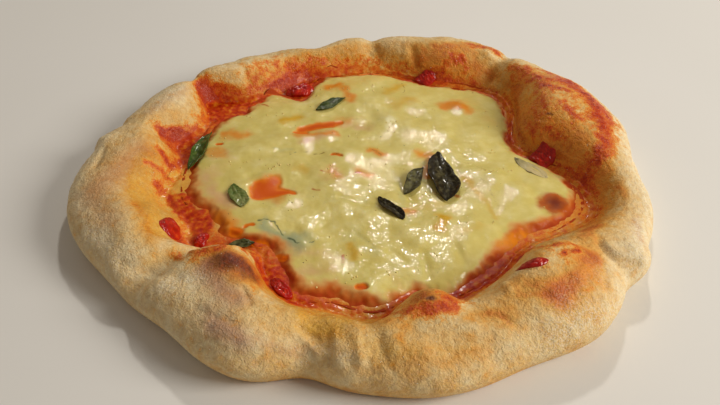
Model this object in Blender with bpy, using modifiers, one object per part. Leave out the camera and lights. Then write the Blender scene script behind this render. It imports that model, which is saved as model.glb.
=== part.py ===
"""Pan pizza with a hand-pulled, puffed rim: bread crust, tomato sauce, melted cheese, wilted basil and bits of tomato.

Metres, +Z up. The pizza lies flat on z = 0. Angles are degrees, counter-clockwise seen from above, from +X.
Every outline is a round one with named lobes added, so the pizza stays as uneven as a hand leaves it.
"""

import math

import bmesh
import bpy
import numpy as np
from mathutils import Vector, noise
from mathutils.bvhtree import BVHTree

COLLECTION = "pan_pizza"

# Crust: mean sizes of the rim, and the flat floor inside it.
RIM_RADIUS = 0.141
RIM_HEIGHT = 0.025
RIM_CREST_SHARE = 0.52
RIM_BULGE_HEIGHT = 0.46
UNDERSIDE_TUCK = 0.30
FLOOR_THICKNESS = 0.0055
RIM_ROUNDNESS = 1.25

# Each lobe is (angle, half width in degrees, size in metres). Positive sizes push out or up.
OUTLINE_LOBES = (
    (2, 9, -0.0047),
    (16, 28, 0.0120),
    (34, 9, 0.0014),
    (48, 7, 0.0013),
    (62, 16, 0.0065),
    (75, 8, -0.0055),
    (88, 10, -0.0082),
    (105, 9, -0.0134),
    (118, 7, 0.0018),
    (130, 28, -0.0116),
    (152, 7, 0.0015),
    (176, 4, -0.0030),
    (192, 21, 0.0107),
    (215, 12, -0.0029),
    (232, 8, -0.0028),
    (247, 10, 0.0017),
    (260, 7, -0.0086),
    (272, 9, -0.0039),
    (287, 16, 0.0037),
    (300, 8, -0.0013),
    (316, 12, 0.0094),
    (333, 5, 0.0042),
    (346, 13, 0.0064),
)
HEIGHT_LOBES = (
    (24, 16, 0.0040),
    (50, 5, -0.0010),
    (67, 11, 0.0008),
    (88, 6, -0.0013),
    (103, 8, -0.0020),
    (118, 10, -0.0038),
    (144, 5, -0.0025),
    (164, 8, -0.0010),
    (195, 12, -0.0016),
    (221, 4, -0.0045),
    (237, 11, 0.0025),
    (261, 7, -0.0030),
    (287, 8, 0.0010),
    (315, 14, 0.0046),
    (346, 12, -0.0067),
)

# Cheese: where its melted edge stopped, and its thickness in the middle and at the edge.
CHEESE_RADIUS = 0.094
CHEESE_THICKNESS = 0.0032
CHEESE_EDGE_THICKNESS = 0.0012
CHEESE_LIP = 0.4
CHEESE_EDGE_FALL = 8
CHEESE_LOBES = (
    (352, 15, 0.0210),
    (20, 9, -0.0070),
    (47, 14, 0.0200),
    (86, 20, 0.0125),
    (118, 8, -0.0130),
    (148, 14, 0.0040),
    (203, 7, -0.0090),
    (230, 15, -0.0220),
    (262, 7, -0.0050),
    (286, 7, -0.0070),
    (325, 8, -0.0030),
)

# Sauce: how far it shows past the cheese, how far of that climbs the rim, and its thickness.
SAUCE_BAND = 0.0065
SAUCE_CLIMB = 0.0045
FLAT_BAND = 0.001
SAUCE_THICKNESS = 0.0016
SAUCE_EDGE_THICKNESS = 0.0007
SAUCE_LOBES = (
    (24, 14, -0.0015),
    (50, 10, -0.0030),
    (80, 14, -0.0025),
    (116, 9, 0.0130),
    (143, 6, 0.0160),
    (166, 6, 0.0100),
    (196, 15, 0.0080),
    (214, 7, 0.0080),
    (238, 9, 0.0050),
    (266, 12, 0.0045),
    (284, 5, -0.0035),
    (346, 8, 0.0040),
)

# Domes on the crust, each (angle, distance from the centre, radius, height): blisters and puffs.
CRUST_DOMES = (
    (22, 0.1180, 0.026, 0.0040),
    (64, 0.1140, 0.016, 0.0020),
    (237, 0.1010, 0.011, 0.0035),
    (287, 0.1030, 0.010, 0.0035),
    (315, 0.1140, 0.020, 0.0030),
    (175, 0.1400, 0.007, 0.0030),
    (333, 0.1460, 0.010, 0.0025),
    (247, 0.1340, 0.013, 0.0020),
    (203, 0.1240, 0.018, 0.0015),
)
# Creases across the rim, each (angle, half width in degrees, depth), where the dough was pinched or folded.
CRUST_CREASES = (
    (50, 2.6, 0.0030),
    (88, 2.6, 0.0020),
    (144, 2.4, 0.0025),
    (168, 2.4, 0.0020),
    (222, 2.6, 0.0035),
    (260, 2.8, 0.0020),
    (272, 2.2, 0.0014),
    (294, 2.4, 0.0012),
    (327, 2.4, 0.0020),
)
# How far out the crest lies between the rim's foot and its outer edge, changed from its mean share.
CREST_LOBES = (
    (24, 14, -0.06),
    (143, 10, 0.08),
    (196, 14, 0.10),
    (237, 10, -0.14),
    (287, 8, -0.10),
    (316, 12, -0.12),
    (347, 12, 0.08),
)
CRUST_NOISE = 0.0009
CRUST_NOISE_SPAN = 0.020
RELIEF_FULL_HEIGHT = 0.010

# Swells of the cheese, each (x, y, radius, height), and its all-over unevenness.
CHEESE_SWELLS = (
    (0.030, 0.036, 0.022, 0.0016),
    (-0.010, 0.010, 0.020, 0.0018),
    (-0.052, 0.024, 0.018, 0.0014),
    (0.052, -0.048, 0.024, 0.0022),
    (-0.022, -0.040, 0.017, -0.0010),
    (0.070, -0.008, 0.016, 0.0012),
    (0.004, 0.074, 0.020, 0.0010),
)
CHEESE_NOISE = 0.0009
CHEESE_NOISE_SPAN = 0.013

# Layers keep this gap, and loose pieces lie this far above what carries them.
LAYER_GAP = 0.0003
RESTING_GAP = 0.0006
ABOVE_EVERYTHING = 0.2
RESTING_REACH = 0.0015

# Where the rings of the layers lie, as shares of the stretches between their edges.
SPOKES = 120
CHEESE_SHARES = (0.14, 0.30, 0.46, 0.61, 0.75, 0.88, 0.97)
SAUCE_SHARES = (0.5, 1.0)
INNER_SLOPE_SHARES = (0.22, 0.44, 0.66, 0.85, 1.0)
OUTER_TURNS = (0.16, 0.33, 0.50, 0.66, 0.82, 0.93, 1.0)
UNDERSIDE_SHARE = 0.72

# Basil leaves: (name, x, y, heading, length, width, curl). A heading is the way from stalk to tip.
BASIL_LEAVES = (
    ("basil_leaf_big", 0.0425, -0.0030, 92, 0.040, 0.0150, 0.0034),
    ("basil_leaf_curled", 0.0275, -0.0062, 62, 0.023, 0.0085, 0.0024),
    ("basil_leaf_narrow", 0.0149, -0.0288, 124, 0.021, 0.0068, 0.0018),
    ("basil_leaf_left", -0.0902, 0.0200, 76, 0.034, 0.0085, 0.0024),
    ("basil_leaf_far", -0.0194, 0.0641, 36, 0.021, 0.0075, 0.0016),
    ("basil_leaf_front_left", -0.0592, -0.0545, 12, 0.015, 0.0065, 0.0012),
    ("basil_leaf_right", 0.0915, 0.0090, 127, 0.023, 0.0085, 0.0014),
    ("basil_leaf_sunk", -0.0639, -0.0208, 108, 0.019, 0.0090, 0.0010),
)
LEAF_THICKNESS = 0.0006
LEAF_ROWS = 10
LEAF_COLUMNS = 4
# A leaf's outline: the width left at its ends, where its belly lies, and how full it is.
LEAF_END = 0.10
LEAF_BELLY = 0.80
LEAF_FULLNESS = 0.80
# Its rib bends sideways by this share of its width, in this part of a wave.
LEAF_BEND = 0.12
LEAF_BEND_WAVE = 0.8
# Its lift, as shares of its curl: sides that turn up, and ripples that run along and across it.
SIDE_CURL = 0.55
RIPPLE_CURL = 0.45
RIPPLE_ALONG = 3.1
RIPPLE_ACROSS = 1.7

# Tomato pieces: (name, x, y, heading, length, width, height).
TOMATO_PIECES = (
    ("tomato_far_left", -0.0390, 0.0830, 25, 0.017, 0.0110, 0.0060),
    ("tomato_far", 0.0385, 0.0975, 170, 0.012, 0.0075, 0.0045),
    ("tomato_right", 0.0995, 0.0180, 140, 0.013, 0.0085, 0.0050),
    ("tomato_front_left", -0.0360, -0.0825, 305, 0.016, 0.0075, 0.0040),
    ("tomato_left", -0.0784, -0.0511, 70, 0.010, 0.0070, 0.0035),
    ("tomato_left_strip", -0.0925, -0.0500, 100, 0.015, 0.0085, 0.0030),
    ("tomato_on_rim", 0.0755, -0.0860, 8, 0.013, 0.0058, 0.0028),
)
TOMATO_ROUNDS = 2
TOMATO_UNEVENNESS = 0.18
TOMATO_BUMPS = 1.3
TOMATO_VARIETY = 100
# A lump is a ball cut off this far below its middle, as a share of its half height.
TOMATO_CUT = 0.25

# Each finish is a linear colour and a roughness.
MATERIALS = {
    "baked_dough": ((0.62, 0.42, 0.20), 0.75),
    "tomato_sauce": ((0.52, 0.07, 0.02), 0.35),
    "melted_cheese": ((0.76, 0.66, 0.33), 0.30),
    "basil": ((0.03, 0.06, 0.02), 0.40),
    "tomato": ((0.45, 0.03, 0.02), 0.25),
}


def clear_scene():
    for old in list(bpy.data.objects):
        bpy.data.objects.remove(old)


def material(name):
    colour, roughness = MATERIALS[name]
    made = bpy.data.materials.get(name) or bpy.data.materials.new(name)
    made.use_nodes = True
    shader = made.node_tree.nodes["Principled BSDF"]
    shader.inputs["Base Color"].default_value = (*colour, 1.0)
    shader.inputs["Roughness"].default_value = roughness
    shader.inputs["Metallic"].default_value = 0.0
    return made


def lobes(angle, table):
    """The sum of a table's lobes at these angles, in metres."""
    total = np.zeros_like(angle)
    for centre, half_width, size in table:
        apart = (angle - centre + 180.0) % 360.0 - 180.0
        total += size * np.exp(-((apart / half_width) ** 2))
    return total


def cheese_edge(angle):
    return CHEESE_RADIUS + lobes(angle, CHEESE_LOBES)


def sauce_edge(angle):
    return cheese_edge(angle) + SAUCE_BAND + lobes(angle, SAUCE_LOBES)


def rim_foot(angle):
    """Where the flat floor turns up into the rim."""
    return np.maximum(sauce_edge(angle) - SAUCE_CLIMB, cheese_edge(angle) + FLAT_BAND)


def rim_outer(angle):
    return RIM_RADIUS + lobes(angle, OUTLINE_LOBES)


def rim_height(angle):
    return RIM_HEIGHT + lobes(angle, HEIGHT_LOBES)


def rim_crest(angle):
    foot = rim_foot(angle)
    return foot + (RIM_CREST_SHARE + lobes(angle, CREST_LOBES)) * (rim_outer(angle) - foot)


def inner_height(angle, radius):
    """Height of the crust's top from its middle to the rim's crest."""
    foot, crest = rim_foot(angle), rim_crest(angle)
    share = np.clip((radius - foot) / (crest - foot), 0.0, 1.0)
    rise = np.sin(share * math.pi / 2) ** RIM_ROUNDNESS
    return FLOOR_THICKNESS + (rim_height(angle) - FLOOR_THICKNESS) * rise


def outer_section(angle, turn):
    """(radius, height) from the crest, turn 0, over the bulge, turn 0.5, and in under the rim, turn 1."""
    crest, outer, top = rim_crest(angle), rim_outer(angle), rim_height(angle)
    bulge = RIM_BULGE_HEIGHT * top
    tuck = outer - UNDERSIDE_TUCK * (outer - crest)
    swing = turn * math.pi
    if turn <= 0.5:
        return crest + (outer - crest) * math.sin(swing), bulge + (top - bulge) * math.cos(swing)
    return tuck + (outer - tuck) * math.sin(swing), bulge + bulge * math.cos(swing)


def at(angle, radius, height):
    """Points of one ring: a row of x, y, z for each spoke."""
    turn = np.radians(angle)
    height = np.broadcast_to(height, angle.shape)
    return np.stack([radius * np.cos(turn), radius * np.sin(turn), height], axis=-1)


def normals(rings):
    """Outward directions on a grid of rings that run outwards over the top."""
    across = np.gradient(rings, axis=0)
    around = np.roll(rings, -1, axis=1) - np.roll(rings, 1, axis=1)
    made = np.cross(across, around)
    return made / np.maximum(np.linalg.norm(made, axis=-1, keepdims=True), 1e-12)


def soft_noise(points, span):
    """Smooth noise from about -1 to 1 whose bumps are span across."""
    flat = points.reshape(-1, 3) / span
    values = [noise.noise(Vector(p)) for p in flat]
    return np.array(values).reshape(points.shape[:-1])


def crust_relief(points, angle):
    """How far the crust's skin stands out from the plain rim: domes, creases and all-over unevenness."""
    outward = CRUST_NOISE * soft_noise(points, CRUST_NOISE_SPAN)
    for centre, distance, radius, height in CRUST_DOMES:
        turn = math.radians(centre)
        across = np.hypot(
            points[..., 0] - distance * math.cos(turn),
            points[..., 1] - distance * math.sin(turn),
        )
        outward += height * np.exp(-((across / radius) ** 2))
    for centre, half_width, depth in CRUST_CREASES:
        apart = (angle - centre + 180.0) % 360.0 - 180.0
        outward -= depth * np.exp(-((apart / half_width) ** 2))
    return outward


def crust_rings(angle):
    """The crust's rings from the middle of its top to the middle of its underside, without the two middle points."""
    rings = []
    for share in (0.0, *SAUCE_SHARES):
        radius = cheese_edge(angle) + share * (sauce_edge(angle) - cheese_edge(angle))
        rings.append(at(angle, radius, inner_height(angle, radius)))
    edge, crest = sauce_edge(angle), rim_crest(angle)
    for share in INNER_SLOPE_SHARES:
        radius = edge + share * (crest - edge)
        rings.append(at(angle, radius, inner_height(angle, radius)))
    for turn in OUTER_TURNS:
        radius, height = outer_section(angle, turn)
        rings.append(at(angle, radius, height))
    rings = np.array(rings)
    fades_in = np.clip((rings[..., 2] - FLOOR_THICKNESS) / RELIEF_FULL_HEIGHT, 0.0, 1.0)
    fades_in[: 1 + len(SAUCE_SHARES)] = 0.0
    rings += normals(rings) * (crust_relief(rings, angle) * fades_in)[..., None]
    under = rings[-1] * (UNDERSIDE_SHARE, UNDERSIDE_SHARE, 0.0)
    return [*rings, under]


def plan_centre():
    """The middle of the outline's box, which the finished pizza is moved by to centre it on the origin."""
    fine = np.arange(0.0, 360.0, 0.5)
    outline = at(fine, rim_outer(fine), 0.0)
    return (outline.min(axis=0) + outline.max(axis=0)) / 2


def cheese_height(points):
    """Thickness of the cheese at these points of its bed."""
    thickness = CHEESE_THICKNESS + CHEESE_NOISE * soft_noise(points, CHEESE_NOISE_SPAN)
    for x, y, radius, height in CHEESE_SWELLS:
        across = np.hypot(points[..., 0] - x, points[..., 1] - y)
        thickness += height * np.exp(-((across / radius) ** 2))
    return thickness


def loft(name, rings, top, bottom, finish):
    """A closed skin from a top point out over rings of points and back in to a bottom point."""
    count = len(rings[0])
    points = [tuple(top), *(tuple(p) for ring in rings for p in ring), tuple(bottom)]
    first, last = 1, len(points) - 1
    faces = []
    for k in range(count):
        after = (k + 1) % count
        faces.append((0, first + k, first + after))
        for row in range(len(rings) - 1):
            here, there = first + row * count, first + (row + 1) * count
            faces.append((here + k, there + k, there + after, here + after))
        edge = first + (len(rings) - 1) * count
        faces.append((edge + k, last, edge + after))
    mesh = bpy.data.meshes.new(name)
    mesh.from_pydata(points, [], faces)
    return finished(mesh, name, finish)


def finished(mesh, name, finish):
    """A smooth object in the pizza's collection, with its faces split into triangles and its material set."""
    shape = bmesh.new()
    shape.from_mesh(mesh)
    bmesh.ops.triangulate(shape, faces=shape.faces)
    shape.to_mesh(mesh)
    shape.free()
    mesh.materials.append(material(finish))
    mesh.shade_smooth()
    made = bpy.data.objects.new(name, mesh)
    bpy.data.collections[COLLECTION].objects.link(made)
    return made


def make_crust(angle):
    """The baked base: a flat floor with a puffed rim round it. Its rings carry the sauce as well."""
    rings = crust_rings(angle)
    loft("crust", rings, (0, 0, FLOOR_THICKNESS), (0, 0, 0), "baked_dough")
    return rings


def make_sauce(angle, crust):
    """The sauce runs under the cheese and shows as a band round it that climbs the rim's foot."""
    bed = [ring + (0, 0, LAYER_GAP) for ring in crust[: 1 + len(SAUCE_SHARES)]]
    top = [bed[0] + (0, 0, SAUCE_THICKNESS)]
    for share, ring in zip(SAUCE_SHARES, bed[1:]):
        thickness = SAUCE_THICKNESS + share * (SAUCE_EDGE_THICKNESS - SAUCE_THICKNESS)
        top.append(ring + (0, 0, thickness))
    base = FLOOR_THICKNESS + LAYER_GAP
    loft("tomato_sauce", top + bed[::-1], (0, 0, base + SAUCE_THICKNESS), (0, 0, base), "tomato_sauce")


def make_cheese(angle):
    """The melted cheese lies on the flat sauce and thins out to a low lip."""
    bed_height = FLOOR_THICKNESS + LAYER_GAP + SAUCE_THICKNESS + LAYER_GAP
    edge = cheese_edge(angle)
    bed = at(angle, edge, bed_height)
    rings = []
    for share in CHEESE_SHARES:
        ring = at(angle, share * edge, bed_height)
        fall = share**CHEESE_EDGE_FALL
        ring[:, 2] += cheese_height(ring) * (1 - fall) + CHEESE_EDGE_THICKNESS * fall
        rings.append(ring)
    lip = at(angle, edge, bed_height + CHEESE_LIP * CHEESE_EDGE_THICKNESS)
    middle = np.array([[0.0, 0.0, bed_height]])
    top = (0, 0, bed_height + float(cheese_height(middle)[0]))
    loft("cheese", [*rings, lip, bed], top, (0, 0, bed_height), "melted_cheese")


def carrier():
    """What lies on the pizza comes down on this: the crust, the sauce and the cheese as one tree of faces."""
    points, faces = [], []
    for name in ("crust", "tomato_sauce", "cheese"):
        mesh = bpy.data.objects[name].data
        start = len(points)
        points.extend(v.co.copy() for v in mesh.vertices)
        faces.extend([start + i for i in face.vertices] for face in mesh.polygons)
    return BVHTree.FromPolygons(points, faces)


def height_on(tree, x, y):
    """The highest point of the layers within reach of this place."""
    reach = RESTING_REACH
    places = ((0, 0), (reach, 0), (-reach, 0), (0, reach), (0, -reach))
    down = Vector((0, 0, -1))
    return max(tree.ray_cast(Vector((x + a, y + b, ABOVE_EVERYTHING)), down)[0].z for a, b in places)


def make_leaf(tree, name, x, y, heading, length, width, curl):
    """A wilted leaf: a pointed sheet, rippled along its rib, with its sides curled up."""
    shape = bmesh.new()
    bmesh.ops.create_grid(shape, x_segments=LEAF_ROWS, y_segments=LEAF_COLUMNS, size=1.0)
    turn = math.radians(heading)
    for vertex in shape.verts:
        along, across = vertex.co.x, vertex.co.y
        belly = math.sin(math.pi * (0.5 + 0.5 * along) ** LEAF_BELLY) ** LEAF_FULLNESS
        taper = LEAF_END + (1 - LEAF_END) * belly
        bend = LEAF_BEND * width * math.sin(LEAF_BEND_WAVE * math.pi * along)
        forward = along * length / 2
        side = across * taper * width / 2 + bend
        place_x = x + forward * math.cos(turn) - side * math.sin(turn)
        place_y = y + forward * math.sin(turn) + side * math.cos(turn)
        ripple = 0.5 + 0.5 * math.sin(RIPPLE_ALONG * along + RIPPLE_ACROSS * across)
        lift = curl * (SIDE_CURL * across * across * taper + RIPPLE_CURL * ripple)
        vertex.co = (place_x, place_y, height_on(tree, place_x, place_y) + RESTING_GAP + lift)
    bmesh.ops.triangulate(shape, faces=shape.faces)
    bmesh.ops.recalc_face_normals(shape, faces=shape.faces)
    if sum(face.normal.z for face in shape.faces) < 0:
        bmesh.ops.reverse_faces(shape, faces=shape.faces)
    mesh = bpy.data.meshes.new(name)
    shape.to_mesh(mesh)
    shape.free()
    leaf = finished(mesh, name, "basil")
    blade = leaf.modifiers.new("blade", "SOLIDIFY")
    blade.thickness = LEAF_THICKNESS
    blade.offset = 1.0


def make_tomato(tree, name, x, y, heading, length, width, height):
    """A lump of tomato whose underside settles on what carries it."""
    shape = bmesh.new()
    bmesh.ops.create_icosphere(shape, subdivisions=TOMATO_ROUNDS, radius=1.0)
    turn = math.radians(heading)
    for vertex in shape.verts:
        bump = noise.noise(vertex.co * TOMATO_BUMPS + Vector((x, y, 0)) * TOMATO_VARIETY)
        swell = 1 + TOMATO_UNEVENNESS * bump
        forward = vertex.co.x * swell * length / 2
        side = vertex.co.y * swell * width / 2
        place_x = x + forward * math.cos(turn) - side * math.sin(turn)
        place_y = y + forward * math.sin(turn) + side * math.cos(turn)
        above = (max(vertex.co.z, -TOMATO_CUT) + TOMATO_CUT) / (1 + TOMATO_CUT)
        bed = height_on(tree, place_x, place_y) + RESTING_GAP
        vertex.co = (place_x, place_y, bed + above * height)
    mesh = bpy.data.meshes.new(name)
    shape.to_mesh(mesh)
    shape.free()
    finished(mesh, name, "tomato")


def build():
    clear_scene()
    pizza = bpy.data.collections.new(COLLECTION)
    bpy.context.scene.collection.children.link(pizza)
    angle = np.arange(SPOKES) * 360.0 / SPOKES
    crust = make_crust(angle)
    make_sauce(angle, crust)
    make_cheese(angle)
    tree = carrier()
    for leaf in BASIL_LEAVES:
        make_leaf(tree, *leaf)
    for piece in TOMATO_PIECES:
        make_tomato(tree, *piece)
    centre = Vector(plan_centre())
    for shown in pizza.objects:
        shown.location = -centre


build()
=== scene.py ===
import math

import bmesh
import bpy
import numpy as np
from mathutils import Matrix, Vector, noise
from mathutils.bvhtree import BVHTree


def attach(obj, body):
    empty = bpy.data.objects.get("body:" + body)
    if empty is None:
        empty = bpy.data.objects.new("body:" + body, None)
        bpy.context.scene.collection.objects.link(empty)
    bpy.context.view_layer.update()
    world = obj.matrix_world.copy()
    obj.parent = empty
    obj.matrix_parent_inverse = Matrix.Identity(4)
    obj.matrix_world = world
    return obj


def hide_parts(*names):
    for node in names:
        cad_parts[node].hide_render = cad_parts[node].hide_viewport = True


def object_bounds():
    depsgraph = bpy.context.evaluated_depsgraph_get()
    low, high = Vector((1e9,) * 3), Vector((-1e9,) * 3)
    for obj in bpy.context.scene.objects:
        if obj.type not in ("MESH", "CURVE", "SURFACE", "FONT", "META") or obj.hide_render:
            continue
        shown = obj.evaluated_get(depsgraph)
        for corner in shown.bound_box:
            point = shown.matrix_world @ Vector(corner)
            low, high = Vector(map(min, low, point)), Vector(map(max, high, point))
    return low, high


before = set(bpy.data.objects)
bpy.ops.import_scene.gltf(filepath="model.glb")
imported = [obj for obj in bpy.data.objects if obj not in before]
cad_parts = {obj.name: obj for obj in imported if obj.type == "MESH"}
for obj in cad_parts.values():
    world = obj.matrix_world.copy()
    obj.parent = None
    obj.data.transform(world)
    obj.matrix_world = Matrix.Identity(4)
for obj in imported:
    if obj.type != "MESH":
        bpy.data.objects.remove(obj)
cad_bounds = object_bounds()

# The crust: bread dough pressed flat by hand and pushed out to a thick rim, then baked on a hot floor.
# The rim puffs unevenly. Its outside stays pale and floury, its inner slope drinks oil and sauce and browns.
# Every place on the pizza is given from the middle of the well that the sauce fills, and moved at the end.
MM = 0.001
RIM_RADIUS = 0.141
RIM_HEIGHT = 0.025
RIM_CREST_SHARE = 0.52
RIM_BULGE_HEIGHT = 0.46
UNDERSIDE_TUCK = 0.30
FLOOR_THICKNESS = 0.0055
RIM_ROUNDNESS = 1.25

# Each lobe is (angle, half width in degrees, size in metres). Positive sizes push out or up.
OUTLINE_LOBES = (
    (2, 9, -0.0047), (16, 28, 0.0120), (34, 9, 0.0014), (48, 7, 0.0013), (62, 16, 0.0065), (75, 8, -0.0055),
    (88, 10, -0.0082), (105, 9, -0.0134), (118, 7, 0.0018), (130, 28, -0.0116), (152, 7, 0.0015),
    (176, 4, -0.0030), (192, 21, 0.0107), (215, 12, -0.0029), (232, 8, -0.0028), (247, 10, 0.0017),
    (260, 7, -0.0086), (272, 9, -0.0039), (287, 16, 0.0037), (300, 8, -0.0013), (316, 12, 0.0094),
    (333, 5, 0.0042), (346, 13, 0.0064),
)
HEIGHT_LOBES = (
    (24, 16, 0.0040), (50, 5, -0.0010), (67, 11, 0.0008), (88, 6, -0.0013), (103, 8, -0.0020),
    (118, 10, -0.0038), (144, 5, -0.0025), (164, 8, -0.0010), (195, 12, -0.0016), (221, 4, -0.0045),
    (237, 11, 0.0025), (261, 7, -0.0030), (287, 8, 0.0010), (315, 14, 0.0046), (346, 12, -0.0067),
)
CREST_LOBES = (
    (24, 14, -0.06), (143, 10, 0.08), (196, 14, 0.10), (237, 10, -0.14), (287, 8, -0.10), (316, 12, -0.12),
    (347, 12, 0.08),
)
CHEESE_RADIUS = 0.094
CHEESE_LOBES = (
    (352, 15, 0.0210), (20, 9, -0.0070), (47, 14, 0.0200), (86, 20, 0.0125), (118, 8, -0.0130),
    (148, 14, 0.0040), (203, 7, -0.0090), (230, 15, -0.0220), (262, 7, -0.0050), (286, 7, -0.0070),
    (325, 8, -0.0030),
)
SAUCE_BAND = 0.0065
SAUCE_CLIMB = 0.0045
FLAT_BAND = 0.001
SAUCE_LOBES = (
    (24, 14, -0.0015), (50, 10, -0.0030), (80, 14, -0.0025), (116, 9, 0.0130), (143, 6, 0.0160),
    (166, 6, 0.0100), (196, 15, 0.0080), (214, 7, 0.0080), (238, 9, 0.0050), (266, 12, 0.0045),
    (284, 5, -0.0035), (346, 8, 0.0040),
)

# Domes are (angle, distance from the centre, radius, height), creases (angle, half width in degrees, depth).
CRUST_DOMES = (
    (22, 0.1180, 0.026, 0.0040), (64, 0.1140, 0.016, 0.0020), (237, 0.1010, 0.011, 0.0035),
    (287, 0.1030, 0.010, 0.0035), (315, 0.1140, 0.020, 0.0030), (175, 0.1400, 0.007, 0.0030),
    (333, 0.1460, 0.010, 0.0025), (247, 0.1340, 0.013, 0.0020), (203, 0.1240, 0.018, 0.0015),
)
CRUST_CREASES = (
    (50, 2.6, 0.0030), (88, 2.6, 0.0020), (144, 2.4, 0.0025), (168, 2.4, 0.0020), (222, 2.6, 0.0035),
    (260, 2.8, 0.0020), (272, 2.2, 0.0014), (294, 2.4, 0.0012), (327, 2.4, 0.0020),
)
CRUST_NOISE = 0.0009
CRUST_NOISE_SPAN = 0.020
RELIEF_FULL_HEIGHT = 0.010
# The rim's relief starts at the sauce's edge and is whole at this share of the slope above it.
RELIEF_START_SHARE = 0.22

SPOKES = 880
INNER_ROWS = 46
SHOULDER_ROWS = 34
FLANK_ROWS = 20
UNDER_SAUCE_SHARES = (0.0, 0.5, 0.8, 1.0)
UNDERSIDE_SHARES = (0.97, 0.72)


def lobes(angle, table):
    """The sum of a table's lobes at these angles, in metres."""
    total = np.zeros_like(angle)
    for centre, half_width, size in table:
        apart = (angle - centre + 180.0) % 360.0 - 180.0
        total += size * np.exp(-((apart / half_width) ** 2))
    return total


def cheese_edge(angle):
    return CHEESE_RADIUS + lobes(angle, CHEESE_LOBES)


def sauce_edge(angle):
    return cheese_edge(angle) + SAUCE_BAND + lobes(angle, SAUCE_LOBES)


def rim_foot(angle):
    """Where the flat floor turns up into the rim."""
    return np.maximum(sauce_edge(angle) - SAUCE_CLIMB, cheese_edge(angle) + FLAT_BAND)


def rim_outer(angle):
    return RIM_RADIUS + lobes(angle, OUTLINE_LOBES)


def rim_height(angle):
    return RIM_HEIGHT + lobes(angle, HEIGHT_LOBES)


def rim_crest(angle):
    foot = rim_foot(angle)
    return foot + (RIM_CREST_SHARE + lobes(angle, CREST_LOBES)) * (rim_outer(angle) - foot)


def inner_height(angle, radius):
    """Height of the crust's top from its middle to the rim's crest."""
    foot, crest = rim_foot(angle), rim_crest(angle)
    share = np.clip((radius - foot) / (crest - foot), 0.0, 1.0)
    rise = np.sin(share * math.pi / 2) ** RIM_ROUNDNESS
    return FLOOR_THICKNESS + (rim_height(angle) - FLOOR_THICKNESS) * rise


def outer_section(angle, turn):
    """(radius, height) from the crest, turn 0, over the bulge, turn 0.5, and in under the rim, turn 1."""
    crest, outer, top = rim_crest(angle), rim_outer(angle), rim_height(angle)
    bulge = RIM_BULGE_HEIGHT * top
    tuck = outer - UNDERSIDE_TUCK * (outer - crest)
    swing = turn * math.pi
    if turn <= 0.5:
        return crest + (outer - crest) * math.sin(swing), bulge + (top - bulge) * math.cos(swing)
    return tuck + (outer - tuck) * math.sin(swing), bulge + bulge * math.cos(swing)


def at(angle, radius, height):
    """Points of one ring: a row of x, y, z for each spoke."""
    turn = np.radians(angle)
    height = np.broadcast_to(height, angle.shape)
    return np.stack([radius * np.cos(turn), radius * np.sin(turn), height], axis=-1)


def normals(rings):
    """Outward directions on a grid of rings that run outwards over the top."""
    across = np.gradient(rings, axis=0)
    around = np.roll(rings, -1, axis=1) - np.roll(rings, 1, axis=1)
    made = np.cross(across, around)
    return made / np.maximum(np.linalg.norm(made, axis=-1, keepdims=True), 1e-12)


def soft_noise(points, span, shift=0.0):
    """Smooth noise from about -1 to 1 whose bumps are span across."""
    flat = points.reshape(-1, 3) / span + shift
    values = [noise.noise(Vector(p)) for p in flat]
    return np.array(values).reshape(points.shape[:-1])


def ease(value, low, high):
    """0 below low, 1 above high and a smooth step between."""
    share = np.clip((value - low) / (high - low), 0.0, 1.0)
    return share * share * (3 - 2 * share)


def layered_noise(points, layers):
    """Adds up smooth noises, each given as (height, span, shift)."""
    return sum(height * soft_noise(points, span, shift) for height, span, shift in layers)


def mound(points, x, y, radius, height):
    """What one soft round mound adds at these points."""
    across = np.hypot(points[..., 0] - x, points[..., 1] - y)
    return height * np.exp(-((across / radius) ** 2))


def crust_relief(points, angle):
    """How far the skin stands out from the plain rim: domes, creases and all-over unevenness."""
    outward = CRUST_NOISE * soft_noise(points, CRUST_NOISE_SPAN)
    for centre, distance, radius, height in CRUST_DOMES:
        turn = math.radians(centre)
        outward += mound(points, distance * math.cos(turn), distance * math.sin(turn), radius, height)
    return outward - lobes(angle, CRUST_CREASES)


def crust_sheet(angle):
    """The crust's rings from the cheese's edge to its foot, with each point's climb up the inner slope."""
    edge, crest = sauce_edge(angle), rim_crest(angle)
    radii = [cheese_edge(angle) + share * (edge - cheese_edge(angle)) for share in UNDER_SAUCE_SHARES]
    radii += [edge + (row + 1) / INNER_ROWS * (crest - edge) for row in range(INNER_ROWS)]
    rings = [at(angle, radius, inner_height(angle, radius)) for radius in radii]
    turns = [0.5 * (row + 1) / SHOULDER_ROWS for row in range(SHOULDER_ROWS)]
    turns += [0.5 + 0.5 * (row + 1) / FLANK_ROWS for row in range(FLANK_ROWS)]
    rings += [at(angle, *outer_section(angle, turn)) for turn in turns]
    rings = np.array(rings)
    climb = (np.linalg.norm(rings[..., :2], axis=-1) - edge) / (crest - edge)
    climb[len(radii):] = 1.0
    starts = np.clip(climb / RELIEF_START_SHARE, 0.0, 1.0)
    fades_in = np.clip((rings[..., 2] - FLOOR_THICKNESS) / RELIEF_FULL_HEIGHT, 0.0, 1.0) * starts
    rings += normals(rings) * (crust_relief(rings, angle) * fades_in)[..., None]
    turned = np.array([0.0] * len(radii) + turns)[:, None] + np.zeros_like(angle)
    return rings, climb, turned, fades_in


angle = np.arange(SPOKES) * 360.0 / SPOKES
crust_rings, crust_climb, crust_turned, crust_fade = crust_sheet(angle)
fine_outline = at(angle, rim_outer(angle), 0.0)
plan_centre = (fine_outline.min(axis=0) + fine_outline.max(axis=0)) / 2
upper_skin = crust_rings[crust_turned < 0.5]


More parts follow.
